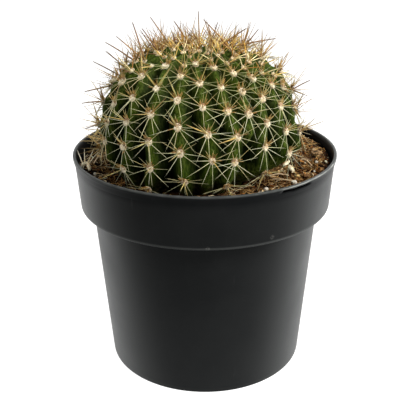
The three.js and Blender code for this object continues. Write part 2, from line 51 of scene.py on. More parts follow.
# ---------------------------------------------------------------- driving dimensions (mm)
POT_H = 130.4
RIM_R = 76.2
LIP_R = 77.0
LIP_DROP = 4.4
BAND_LOW_R = 73.75
BAND_LOW_Z = 100.06
BODY_TOP_R = 67.33
FOOT_R = 59.51
WALL = 1.6
RECESS = 1.8
FLOOR_TOP = 3.6
FOOT_RING_R = 51.5

SOIL_Z = 124.5
STEM_X, STEM_Y = -3.2, -14.0
Z_EQ = 140.5
STEM_R = 55.2
STEM_UP = 51.2
STEM_POWER = 2.55
LEAN_X, LEAN_Y = 0.02, 0.012
DROP = 16.0
DROP_POWER = 1.6
ROOT_X, ROOT_Y = -10.0, -17.0
RIB_SLOPE = 1.05
RIB_CREST = 1.5

TUCK_AZ = [-180, -120, -75, -45, -10, 17, 38, 60, 83, 120, 180]
TUCK = [22, 16, 10, 8, 9, 12, 19, 21, 18, 16, 20]

# rib crests: azimuth and height down each rib, how many of the points carry areoles, fade height
RIBS = [
    ([(-66.1, 177.4), (-60.4, 167.6), (-63, 157.5), (-64.1, 147.3), (-66, 130)], 4, None),
    ([(-48.8, 181.8), (-45, 172.8), (-43.9, 161.9), (-44.3, 149.3), (-45.5, 136.8)], 5, None),
    ([(-34.9, 186.9), (-29.6, 178.4), (-28.1, 167.5), (-27.2, 154.6), (-26, 141.1), (-32.2, 127)], 6, None),
    ([(-15.4, 183.9), (-13.5, 174.7), (-11.4, 162.9), (-9.6, 150.6), (-7.4, 135.4)], 5, None),
    ([(-4.3, 188.2), (-0.1, 181.4), (1.9, 171.9), (4.6, 159.8), (6.9, 146.8), (4, 131)], 5, None),
    ([(13.1, 186.9), (14.4, 179.7), (16.2, 169.7), (20.7, 157.5), (18.8, 144.9), (16.6, 131)], 6, None),
    ([(28.1, 184.4), (28.2, 177.2), (28.4, 167.6), (29, 157)], 3, 158.0),
    ([(41.7, 181.5), (40.8, 172.8), (39.8, 161.5), (37.2, 150.1), (40.9, 134.7)], 5, None),
    ([(55.3, 176.9), (54.2, 167.1), (54.8, 154.6), (57.5, 142.2), (60, 130)], 4, None),
    ([(67.7, 174), (71.5, 163.1), (73.1, 149.7), (82, 134)], 3, None),
    ([(88, 186), (95, 170), (101, 150), (101, 130)], 0, None),
    ([(106, 186), (114, 168), (120, 148), (120.5, 130)], 0, None),
    ([(124, 186), (132, 168), (139, 148), (140, 130)], 0, None),
    ([(145, 186), (148, 172), (149.5, 160)], 0, 161.0),
    ([(163, 186), (160, 168), (158.6, 148), (159, 130)], 0, None),
    ([(183, 186), (179, 168), (178, 148), (178.5, 130)], 0, None),
    ([(200, 186), (198.5, 168), (197.2, 148), (197.6, 130)], 0, None),
    ([(217, 186), (217, 168), (216.5, 148), (217, 130)], 0, None),
    ([(232, 186), (235, 168), (236.6, 148), (236, 130)], 0, None),
    ([(246, 186), (246.5, 173), (247, 160)], 0, 160.0),
    ([(260, 186), (257, 168), (255.2, 148), (255.5, 130)], 0, None),
    ([(275.5, 186), (276, 168), (274.3, 148), (274.7, 130)], 0, None),
]
AREOLE_ARCS = [0, 11, 24, 38, 52, 65.5, 79]


# ---------------------------------------------------------------- small tools
def wrap(a):
    return (np.asarray(a, float) + 180.0) % 360.0 - 180.0


def hash01(ix, iy, iz, seed):
    n = (ix * 374761393 + iy * 668265263 + iz * 974634777 + seed * 144665363) & 0xFFFFFFFF
    n = ((n ^ (n >> 13)) * 1274126177) & 0xFFFFFFFF
    n = ((n ^ (n >> 15)) * 2246822519) & 0xFFFFFFFF
    return ((n ^ (n >> 16)) & 0xFFFFF) / 1048575.0


def vnoise(p, seed=0):
    """Smooth value noise in 0..1 at points p (n, 3)."""
    p = np.asarray(p, float)
    i = np.floor(p).astype(np.int64)
    f = p - i
    f = f * f * (3 - 2 * f)
    out = 0
    for dx in (0, 1):
        wx = f[..., 0] if dx else 1 - f[..., 0]
        for dy in (0, 1):
            wy = f[..., 1] if dy else 1 - f[..., 1]
            for dz in (0, 1):
                wz = f[..., 2] if dz else 1 - f[..., 2]
                out = out + wx * wy * wz * hash01(i[..., 0] + dx, i[..., 1] + dy, i[..., 2] + dz, seed)
    return out


def fbm(p, octaves=4, seed=0):
    p = np.asarray(p, float)
    total, amp, norm = 0, 1.0, 0.0
    for k in range(octaves):
        total = total + amp * vnoise(p * (2.03**k) + 17.1 * k, seed + k)
        norm += amp
        amp *= 0.5
    return total / norm


def cells(p, seed=0):
    """Distance to the nearest of one jittered point per unit cell, and that cell's own number."""
    p = np.asarray(p, float)
    i = np.floor(p).astype(np.int64)
    best = np.full(p.shape[:-1], 9.0)
    ident = np.zeros(p.shape[:-1])
    for dx in (-1, 0, 1):
        for dy in (-1, 0, 1):
            c = i + np.array([dx, dy, 0])
            jx = hash01(c[..., 0], c[..., 1], 0 * c[..., 2], seed)
            jy = hash01(c[..., 0], c[..., 1], 0 * c[..., 2], seed + 7)
            d = np.hypot(c[..., 0] + jx - p[..., 0], c[..., 1] + jy - p[..., 1])
            near = d < best
            best = np.where(near, d, best)
            ident = np.where(near, hash01(c[..., 0], c[..., 1], 0 * c[..., 2], seed + 13), ident)
    return best, ident


def smooth01(t):
    t = np.clip(t, 0, 1)
    return t * t * (3 - 2 * t)


def unit(v):
    v = np.asarray(v, float)
    return v / max(np.linalg.norm(v), 1e-12)


class Batch:
    """Gathers many small closed bodies into one mesh, with a colour per vertex."""

    def __init__(self):
        self.v, self.t, self.q, self.c, self.n = [], [], [], [], 0

    def add(self, v, tris=None, quads=None, colour=None):
        v = np.asarray(v, float)
        self.v.append(v)
        if tris is not None and len(tris):
            self.t.append(np.asarray(tris, np.int64) + self.n)
        if quads is not None and len(quads):
            self.q.append(np.asarray(quads, np.int64) + self.n)
        c = np.zeros((len(v), 4)) if colour is None else np.asarray(colour, float)
        if c.ndim == 1:
            c = np.tile(c, (len(v), 1))
        if c.shape[1] == 3:
            c = np.c_[c, np.ones(len(c))]
        self.c.append(c)
        self.n += len(v)

    def build(self, name, material, replaced=(), smooth=True, sharp=None):
        v = np.vstack(self.v) * MM
        t = np.vstack(self.t) if self.t else np.zeros((0, 3), np.int64)
        q = np.vstack(self.q) if self.q else np.zeros((0, 4), np.int64)
        me = bpy.data.meshes.new(name)
        me.vertices.add(len(v))
        me.vertices.foreach_set("co", v.astype(np.float32).ravel())
        me.loops.add(t.size + q.size)
        me.loops.foreach_set("vertex_index", np.r_[t.ravel(), q.ravel()].astype(np.int32))
        me.polygons.add(len(t) + len(q))
        starts = np.r_[np.arange(len(t)) * 3, len(t) * 3 + np.arange(len(q)) * 4]
        me.polygons.foreach_set("loop_start", starts.astype(np.int32))
        me.update(calc_edges=True)
        me.validate()
        col = me.attributes.new("tint", "FLOAT_COLOR", "POINT")
        col.data.foreach_set("color", np.vstack(self.c).astype(np.float32).ravel())
        if smooth:
            me.polygons.foreach_set("use_smooth", np.ones(len(me.polygons), bool))
        if sharp is not None:
            me.set_sharp_from_angle(angle=sharp * RAD)
        o = bpy.data.objects.new(name, me)
        bpy.context.scene.collection.objects.link(o)
        me.materials.append(material)
        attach(o, "root")
        if replaced:
            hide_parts(*replaced)
        return o


def ring_frames(points):
    """Unit side vectors along a line of points, turning as little as they can."""
    points = np.asarray(points, float)
    d = np.gradient(points, axis=0)
    d /= np.maximum(np.linalg.norm(d, axis=1), 1e-9)[:, None]
    a = np.array([0, 0, 1.0]) if abs(d[0][2]) < 0.9 else np.array([1.0, 0, 0])
    u = unit(np.cross(d[0], a))
    us = []
    for k in range(len(points)):
        u = unit(u - d[k] * (u @ d[k]))
        us.append(u)
    us = np.array(us)
    return d, us, np.cross(d, us)


def tube(points, radii, sides, flat=1.0, pointed=True, roll=0.0):
    """A closed tube. flat squeezes it across one side."""
    points = np.asarray(points, float)
    radii = np.asarray(radii, float)
    m = len(points)
    _, u, w = ring_frames(points)
    ang = np.arange(sides) / sides * 2 * math.pi + roll
    ca, sa = np.cos(ang), np.sin(ang) * flat
    last = m - 1 if pointed else m
    v = (
        points[:last, None, :]
        + radii[:last, None, None] * (ca[None, :, None] * u[:last, None, :] + sa[None, :, None] * w[:last, None, :])
    ).reshape(-1, 3)
    quads = []
    for k in range(last - 1):
        a = k * sides + np.arange(sides)
        b = k * sides + (np.arange(sides) + 1) % sides
        quads.append(np.c_[a, b, b + sides, a + sides])
    quads = np.vstack(quads) if quads else np.zeros((0, 4), int)
    tris = []
    base = len(v)
    v = np.vstack([v, points[0]])
    a = np.arange(sides)
    b = (a + 1) % sides
    tris.append(np.c_[b, a, np.full(sides, base)])
    v = np.vstack([v, points[-1]])
    o = (last - 1) * sides
    tris.append(np.c_[o + a, o + b, np.full(sides, base + 1)])
    where = np.r_[np.repeat(np.arange(last), sides), 0, m - 1] / max(m - 1, 1)
    return v, np.vstack(tris), quads, where


def ico(detail):
    """A unit icosphere."""
    t = (1 + 5**0.5) / 2
    v = [(-1, t, 0), (1, t, 0), (-1, -t, 0), (1, -t, 0), (0, -1, t), (0, 1, t), (0, -1, -t), (0, 1, -t), (t, 0, -1), (t, 0, 1), (-t, 0, -1), (-t, 0, 1)]
    f = [(0, 11, 5), (0, 5, 1), (0, 1, 7), (0, 7, 10), (0, 10, 11), (1, 5, 9), (5, 11, 4), (11, 10, 2), (10, 7, 6), (7, 1, 8), (3, 9, 4), (3, 4, 2), (3, 2, 6), (3, 6, 8), (3, 8, 9), (4, 9, 5), (2, 4, 11), (6, 2, 10), (8, 6, 7), (9, 8, 1)]
    v = [unit(p) for p in v]
    for _ in range(detail):
        seen, nf = {}, []

        def mid(a, b):
            key = (min(a, b), max(a, b))
            if key not in seen:
                seen[key] = len(v)
                v.append(unit(np.array(v[a]) + np.array(v[b])))
            return seen[key]

        for a, b, c in f:
            ab, bc, ca = mid(a, b), mid(b, c), mid(c, a)
            nf += [(a, ab, ca), (b, bc, ab), (c, ca, bc), (ab, bc, ca)]
        f = nf
    return np.array(v), np.array(f)


ICO = [ico(k) for k in range(5)]


def turn(rng, tilt=1.0):
    """A random rotation; tilt below 1 keeps it near level."""
    a, b, c = rng.random(3) * 2 * math.pi
    m = Matrix.Rotation(a, 3, "Z") @ Matrix.Rotation((b - math.pi) * tilt * 0.5, 3, "X") @ Matrix.Rotation((c - math.pi) * tilt * 0.5, 3, "Y")
    return np.array(m)


# ---------------------------------------------------------------- materials
def new_material(name):
    m = bpy.data.materials.new(name)
    m.use_nodes = True
    nt = m.node_tree
    nt.nodes.clear()
    out = nt.nodes.new("ShaderNodeOutputMaterial")
    bsdf = nt.nodes.new("ShaderNodeBsdfPrincipled")
    nt.links.new(bsdf.outputs[0], out.inputs[0])
    return m, nt, bsdf


def node(nt, kind, inputs=None, **props):
    n = nt.nodes.new(kind)
    for k, v in props.items():
        setattr(n, k, v)
    for k, v in (inputs or {}).items():
        if isinstance(v, bpy.types.NodeSocket):
            nt.links.new(v, n.inputs[k])
        else:
            n.inputs[k].default_value = v
    return n


def place(nt, scale):
    """The surface's own place in metres, scaled: an object coordinate."""
    c = node(nt, "ShaderNodeTexCoord")
    return node(nt, "ShaderNodeMapping", {"Vector": c.outputs["Object"], "Scale": scale if isinstance(scale, tuple) else (scale,) * 3}).outputs[0]


def noise(nt, scale, detail=4.0, rough=0.55, distort=0.0, at=None):
    return node(nt, "ShaderNodeTexNoise", {"Vector": at if at is not None else place(nt, 1000.0), "Scale": scale, "Detail": detail, "Roughness": rough, "Distortion": distort}).outputs[0]


def ramp(nt, value, stops, mode="LINEAR"):
    r = node(nt, "ShaderNodeValToRGB", {0: value})
    r.color_ramp.interpolation = mode
    e = r.color_ramp.elements
    while len(e) < len(stops):
        e.new(0.5)
    for k, (pos, col) in enumerate(stops):
        e[k].position = pos
        e[k].color = (*col, 1) if len(col) == 3 else col
    return r.outputs[0]


def mix(nt, a, b, fac, blend="MIX"):
    m = nt.nodes.new("ShaderNodeMix")
    m.data_type = "RGBA"
    m.blend_type = blend
    for sock, v in ((m.inputs[0], fac), (m.inputs[6], a), (m.inputs[7], b)):
        if isinstance(v, bpy.types.NodeSocket):
            nt.links.new(v, sock)
        elif isinstance(v, (tuple, list)):
            sock.default_value = (*v, 1) if len(v) == 3 else v
        else:
            sock.default_value = v
    return m.outputs[2]


def maths(nt, op, a, b=None, c=None, clamp=False):
    m = nt.nodes.new("ShaderNodeMath")
    m.operation = op
    m.use_clamp = clamp
    for k, v in enumerate((a, b, c)):
        if v is None:
            continue
        if isinstance(v, bpy.types.NodeSocket):
            nt.links.new(v, m.inputs[k])
        else:
            m.inputs[k].default_value = v
    return m.outputs[0]


def remap(nt, v, a, b, c, d):
    r = node(nt, "ShaderNodeMapRange", {"Value": v, "From Min": a, "From Max": b, "To Min": c, "To Max": d})
    return r.outputs[0]


def bump(nt, height, strength, distance, normal=None):
    b = node(nt, "ShaderNodeBump", {"Height": height, "Strength": strength, "Distance": distance})
    if normal is not None:
        nt.links.new(normal, b.inputs["Normal"])
    return b.outputs[0]


def tint(nt):
    a = node(nt, "ShaderNodeAttribute", attribute_name="tint")
    return a


# small scuffs on the pot: the place (mm), how wide, how strong
SCRATCH_1 = ((1.2, -73.8, 100.6), 1.5, 0.9)
SCRATCH_2 = ((34.9, -65.3, 103.0), 1.6, 0.55)


def pot_material():
    m, nt, s = new_material("pot_plastic")
    soft = noise(nt, 0.035, 3)
    fine = noise(nt, 1.6, 5, 0.6)
    streak = noise(nt, 1.0, 4, 0.6, at=place(nt, (420.0, 420.0, 18.0)))
    base = ramp(nt, soft, [(0.3, (0.0052, 0.0057, 0.0062)), (0.7, (0.0082, 0.0088, 0.0092))])
    # thin dusty scuffs, mostly upright
    scuff = ramp(nt, streak, [(0.60, (0, 0, 0)), (0.78, (1, 1, 1))])
    patch = ramp(nt, noise(nt, 0.06, 2), [(0.52, (0, 0, 0)), (0.72, (1, 1, 1))])
    wear_and_highlight = maths(nt, "MULTIPLY", scuff, patch)
    base = mix(nt, base, (0.035, 0.036, 0.036), maths(nt, "MULTIPLY", wear_and_highlight, 0.32))
    marks = node(nt, "ShaderNodeSeparateColor", {0: tint(nt).outputs["Color"]})
    edge = marks.outputs[0]
    # painted highlight, partly wear: paler along the top of the lip and the band's lower edge
    base = mix(nt, base, (0.085, 0.090, 0.088), maths(nt, "MULTIPLY", edge, 0.7, clamp=True))
    # painted highlight, partly rubbed wear, on the lip, and two small scuffs on the band
    base = mix(nt, base, (0.36, 0.37, 0.35), maths(nt, "MULTIPLY", maths(nt, "SUBTRACT", edge, 1.05), 0.8, clamp=True))
    here = place(nt, 1000.0)
    for spot, wide, much in (SCRATCH_1, SCRATCH_2):
        off = node(nt, "ShaderNodeVectorMath", {0: here, 1: spot}, operation="DISTANCE").outputs["Value"]
        near = remap(nt, off, wide * 0.35, wide, 1.0, 0.0)
        base = mix(nt, base, (0.11, 0.11, 0.105), maths(nt, "MULTIPLY", maths(nt, "MULTIPLY", near, remap(nt, fine, 0.40, 0.58, 0.0, 1.0)), much, clamp=True))
    # painted shade: near black in the nick's groove and on the inside wall
    base = mix(nt, base, (0.0008, 0.0008, 0.0008), marks.outputs[1])
    nt.links.new(base, s.inputs["Base Color"])
    s.inputs["Specular Tint"].default_value = (0.93, 1.0, 0.985, 1)
    rough = remap(nt, soft, 0.3, 0.7, 0.40, 0.48)
    rough = maths(nt, "ADD", rough, maths(nt, "MULTIPLY", maths(nt, "SUBTRACT", fine, 0.5), 0.10))
    nt.links.new(rough, s.inputs["Roughness"])
    grazing = node(nt, "ShaderNodeLayerWeight", {"Blend": 0.5}).outputs["Facing"]
    gloss = remap(nt, smoothed(nt, grazing, 0.24, 0.80), 0.0, 1.0, 0.085, 0.5)
    gloss = maths(nt, "MULTIPLY", gloss, maths(nt, "SUBTRACT", 1.0, marks.outputs[1]))
    nt.links.new(maths(nt, "MULTIPLY", gloss, maths(nt, "MULTIPLY_ADD", marks.outputs[2], -0.8, 1.0)), s.inputs["Specular IOR Level"])
    h = maths(nt, "ADD", maths(nt, "MULTIPLY", fine, 0.6), maths(nt, "MULTIPLY", streak, 0.25))
    nt.links.new(bump(nt, h, 0.10, 0.0004), s.inputs["Normal"])
    return m


def skin_material():
    """tint: R how far below the crest (0 crest, 1 valley), darkened as painted shade, G a pale waxy coat along the
    crest and painted light at the foot, B nearness to the crown, A old base.
    """
    m, nt, s = new_material("cactus_skin")
    t = tint(nt)
    rgb = node(nt, "ShaderNodeSeparateColor", {0: t.outputs["Color"]})
    deep, bloom_and_painted_light, young = rgb.outputs[0], rgb.outputs[1], rgb.outputs[2]
    old = t.outputs["Alpha"]
    broad = noise(nt, 0.09, 3)
    mid = noise(nt, 0.42, 4, 0.6)
    fine = noise(nt, 2.4, 5, 0.65)
    drawn = noise(nt, 0.9, 4, 0.6, at=place(nt, (1000.0, 1000.0, 260.0)))
    mottle = noise(nt, 0.75, 5, 0.7, 0.4, at=place(nt, (1000.0, 1000.0, 520.0)))
    base = ramp(nt, broad, [(0.25, (0.0062, 0.0160, 0.0003)), (0.55, (0.0115, 0.0270, 0.0005)), (0.8, (0.021, 0.043, 0.0010))])
    base = mix(nt, base, (0.004, 0.010, 0.0003), maths(nt, "MULTIPLY", ramp(nt, mottle, [(0.42, (1, 1, 1)), (0.56, (0, 0, 0))]), 0.62))
    base = mix(nt, base, (0.060, 0.086, 0.0035), maths(nt, "MULTIPLY", ramp(nt, mottle, [(0.53, (0, 0, 0)), (0.68, (1, 1, 1))]), 0.55))
    # painted shade: darker down in each valley
    base = mix(nt, base, (0.0010, 0.0034, 0.0001), maths(nt, "MULTIPLY", smoothed(nt, deep, 0.07, 0.62), 0.96))
    base = mix(nt, base, (0.050, 0.076, 0.012), maths(nt, "MULTIPLY", young, 0.26))
    grey = ramp(nt, drawn, [(0.42, (0, 0, 0)), (0.66, (1, 1, 1))])
    # the pale crest coat, and painted light at the foot
    veil = maths(nt, "MULTIPLY", bloom_and_painted_light, maths(nt, "MULTIPLY_ADD", grey, 0.75, 0.12))
    base = mix(nt, base, (0.140, 0.188, 0.034), maths(nt, "MULTIPLY", veil, 0.46))
    speck = ramp(nt, fine, [(0.60, (0, 0, 0)), (0.72, (1, 1, 1))])
    base = mix(nt, base, (0.13, 0.16, 0.03), maths(nt, "MULTIPLY", speck, 0.18))
    cork = ramp(nt, mid, [(0.45, (0, 0, 0)), (0.70, (1, 1, 1))])
    base = mix(nt, base, (0.115, 0.085, 0.045), maths(nt, "MULTIPLY", maths(nt, "MULTIPLY", old, cork), 0.75))
    nt.links.new(base, s.inputs["Base Color"])
    rough = remap(nt, mid, 0.3, 0.7, 0.40, 0.56)
    nt.links.new(rough, s.inputs["Roughness"])
    s.inputs["Specular IOR Level"].default_value = 0.025
    h = maths(nt, "ADD", maths(nt, "MULTIPLY", fine, 0.35), maths(nt, "MULTIPLY", drawn, 0.8))
    nt.links.new(bump(nt, h, 0.35, 0.0006), s.inputs["Normal"])
    return m


def smoothed(nt, v, a, b):
    r = node(nt, "ShaderNodeMapRange", {"Value": v, "From Min": a, "From Max": b, "To Min": 0.0, "To Max": 1.0})
    r.interpolation_type = "SMOOTHSTEP"
    return r.outputs[0]


def spine_material():
    m, nt, s = new_material("cactus_spine")
    t = tint(nt)
    along = noise(nt, 2.2, 3, 0.6)
    base = mix(nt, t.outputs["Color"], (0.26, 0.17, 0.06), maths(nt, "MULTIPLY", ramp(nt, along, [(0.5, (0, 0, 0)), (0.75, (1, 1, 1))]), 0.30))
    base = mix(nt, base, (0.96, 0.91, 0.66), maths(nt, "MULTIPLY", ramp(nt, noise(nt, 1.1, 2), [(0.45, (0, 0, 0)), (0.8, (1, 1, 1))]), 0.16))
    nt.links.new(base, s.inputs["Base Color"])
    nt.links.new(remap(nt, along, 0.3, 0.7, 0.36, 0.52), s.inputs["Roughness"])
    s.inputs["Specular IOR Level"].default_value = 0.28
    nt.links.new(bump(nt, along, 0.15, 0.0002), s.inputs["Normal"])
    return m


def wool_material():
    m, nt, s = new_material("areole_wool")
    t = tint(nt)
    n = noise(nt, 3.0, 4, 0.7)
    base = mix(nt, t.outputs["Color"], (0.36, 0.25, 0.14), maths(nt, "MULTIPLY", ramp(nt, n, [(0.46, (0, 0, 0)), (0.72, (1, 1, 1))]), 0.45))
    nt.links.new(base, s.inputs["Base Color"])
    nt.links.new(remap(nt, n, 0.3, 0.7, 0.78, 0.95), s.inputs["Roughness"])
    s.inputs["Specular IOR Level"].default_value = 0.2
    s.inputs["Sheen Weight"].default_value = 0.35
    nt.links.new(bump(nt, n, 0.6, 0.0005), s.inputs["Normal"])
    return m


def mix_material(name, wet):
    m, nt, s = new_material(name)
    t = tint(nt)
    big = noise(nt, 0.5, 4, 0.6)
    fine = noise(nt, 2.6, 5, 0.7)
    base = mix(nt, t.outputs["Color"], (0.008, 0.003, 0.0012), maths(nt, "MULTIPLY", ramp(nt, big, [(0.40, (0, 0, 0)), (0.62, (1, 1, 1))]), 0.58))
    base = mix(nt, base, (0.40, 0.22, 0.10), maths(nt, "MULTIPLY", ramp(nt, fine, [(0.58, (0, 0, 0)), (0.74, (1, 1, 1))]), 0.35))
    nt.links.new(base, s.inputs["Base Color"])
    nt.links.new(remap(nt, fine, 0.3, 0.7, 0.72 - wet, 0.95 - wet), s.inputs["Roughness"])
    s.inputs["Specular IOR Level"].default_value = 0.04
    nt.links.new(bump(nt, maths(nt, "ADD", fine, big), 0.7, 0.0007), s.inputs["Normal"])
    return m


def grain_material(name, dark, light, scale, stretch=(1, 1, 1), rough=0.85, strength=0.5):
    m, nt, s = new_material(name)
    t = tint(nt)
    at = place(nt, tuple(1000.0 * k for k in stretch))
    n = noise(nt, scale, 5, 0.65, at=at)
    fine = noise(nt, scale * 4, 4, 0.6, at=at)
    base = ramp(nt, n, [(0.3, dark), (0.65, light)])
    base = mix(nt, base, tuple(c * 0.35 for c in dark), maths(nt, "MULTIPLY", ramp(nt, fine, [(0.55, (0, 0, 0)), (0.72, (1, 1, 1))]), 0.5))
    base = mix(nt, base, t.outputs["Color"], t.outputs["Alpha"])
    nt.links.new(base, s.inputs["Base Color"])
    nt.links.new(remap(nt, fine, 0.3, 0.7, rough - 0.08, min(rough + 0.08, 1.0)), s.inputs["Roughness"])
    s.inputs["Specular IOR Level"].default_value = 0.3
    nt.links.new(bump(nt, maths(nt, "ADD", n, fine), strength, 0.0006), s.inputs["Normal"])
    return m


POT_MAT = pot_material()
SKIN_MAT = skin_material()
SPINE_MAT = spine_material()
WOOL_MAT = wool_material()
MIX_MAT = mix_material("potting_mix", 0.0)
CRUMB_MAT = mix_material("mix_crumb", 0.08)
PERLITE_MAT = grain_material("perlite", (0.56, 0.49, 0.38), (0.90, 0.87, 0.78), 0.9, strength=0.8)
WOOD_MAT = grain_material("pale_wood", (0.66, 0.52, 0.32), (0.95, 0.86, 0.64), 0.5, (1, 0.35, 1), 0.75)
BARK_MAT = grain_material("bark", (0.040, 0.016, 0.006), (0.25, 0.125, 0.045), 0.9, (1, 0.5, 1), 0.88, 0.9)
KNOT_MAT = grain_material("bark_knot", (0.13, 0.065, 0.025), (0.50, 0.32, 0.15), 1.1, (1, 1, 1), 0.88, 0.9)
STRAW_MAT = grain_material("straw", (0.38, 0.26, 0.14), (0.66, 0.50, 0.31), 0.7, (1, 0.5, 1), 0.7, 0.4)


# ---------------------------------------------------------------- the pot
def rounded(points):
    """A profile from corners (r, z, corner radius), with each corner turned into an arc."""
    out = []
    n = len(points)
    for k, (r, z, f) in enumerate(points):
        p = np.array([r, z], float)
        if f <= 0 or k in (0, n - 1):
            out.append(p)
            continue
        a = np.array(points[k - 1][:2], float) - p
        b = np.array(points[k + 1][:2], float) - p
        la, lb = np.linalg.norm(a), np.linalg.norm(b)
        cosang = np.clip((a @ b) / (la * lb), -1, 1)
        half = math.acos(cosang) / 2
        reach = min(f / max(math.tan(half), 1e-6), 0.45 * la, 0.45 * lb)
        s, e = p + a / la * reach, p + b / lb * reach
        for t in np.linspace(0, 1, 6):
            out.append((1 - t) ** 2 * s + 2 * t * (1 - t) * p + t**2 * e)
    return np.array(out)


def spaced(profile, step):
    out = [profile[0]]
    for a, b in zip(profile[:-1], profile[1:]):
        n = max(1, int(math.ceil(np.linalg.norm(b - a) / step)))
        for k in range(1, n + 1):
            q = a + (b - a) * k / n
            # closer rows on the outside just under the rim
            m = 12 if q[1] > 125.5 and out[-1][1] > 123.0 and q[0] > 75.0 and q[1] - out[-1][1] > 1.0 else 1
            start = out[-1]
            if q[0] > 73.6 and start[0] > 73.6 and start[1] < 103.5 and q[1] - start[1] > 1.0:
                m = 9
            out += [start + (q - start) * j / m for j in range(1, m + 1)]
    return np.array(out)


def body_r(z):
    return FOOT_R + (BODY_TOP_R - FOOT_R) * z / (BAND_LOW_Z - 1)


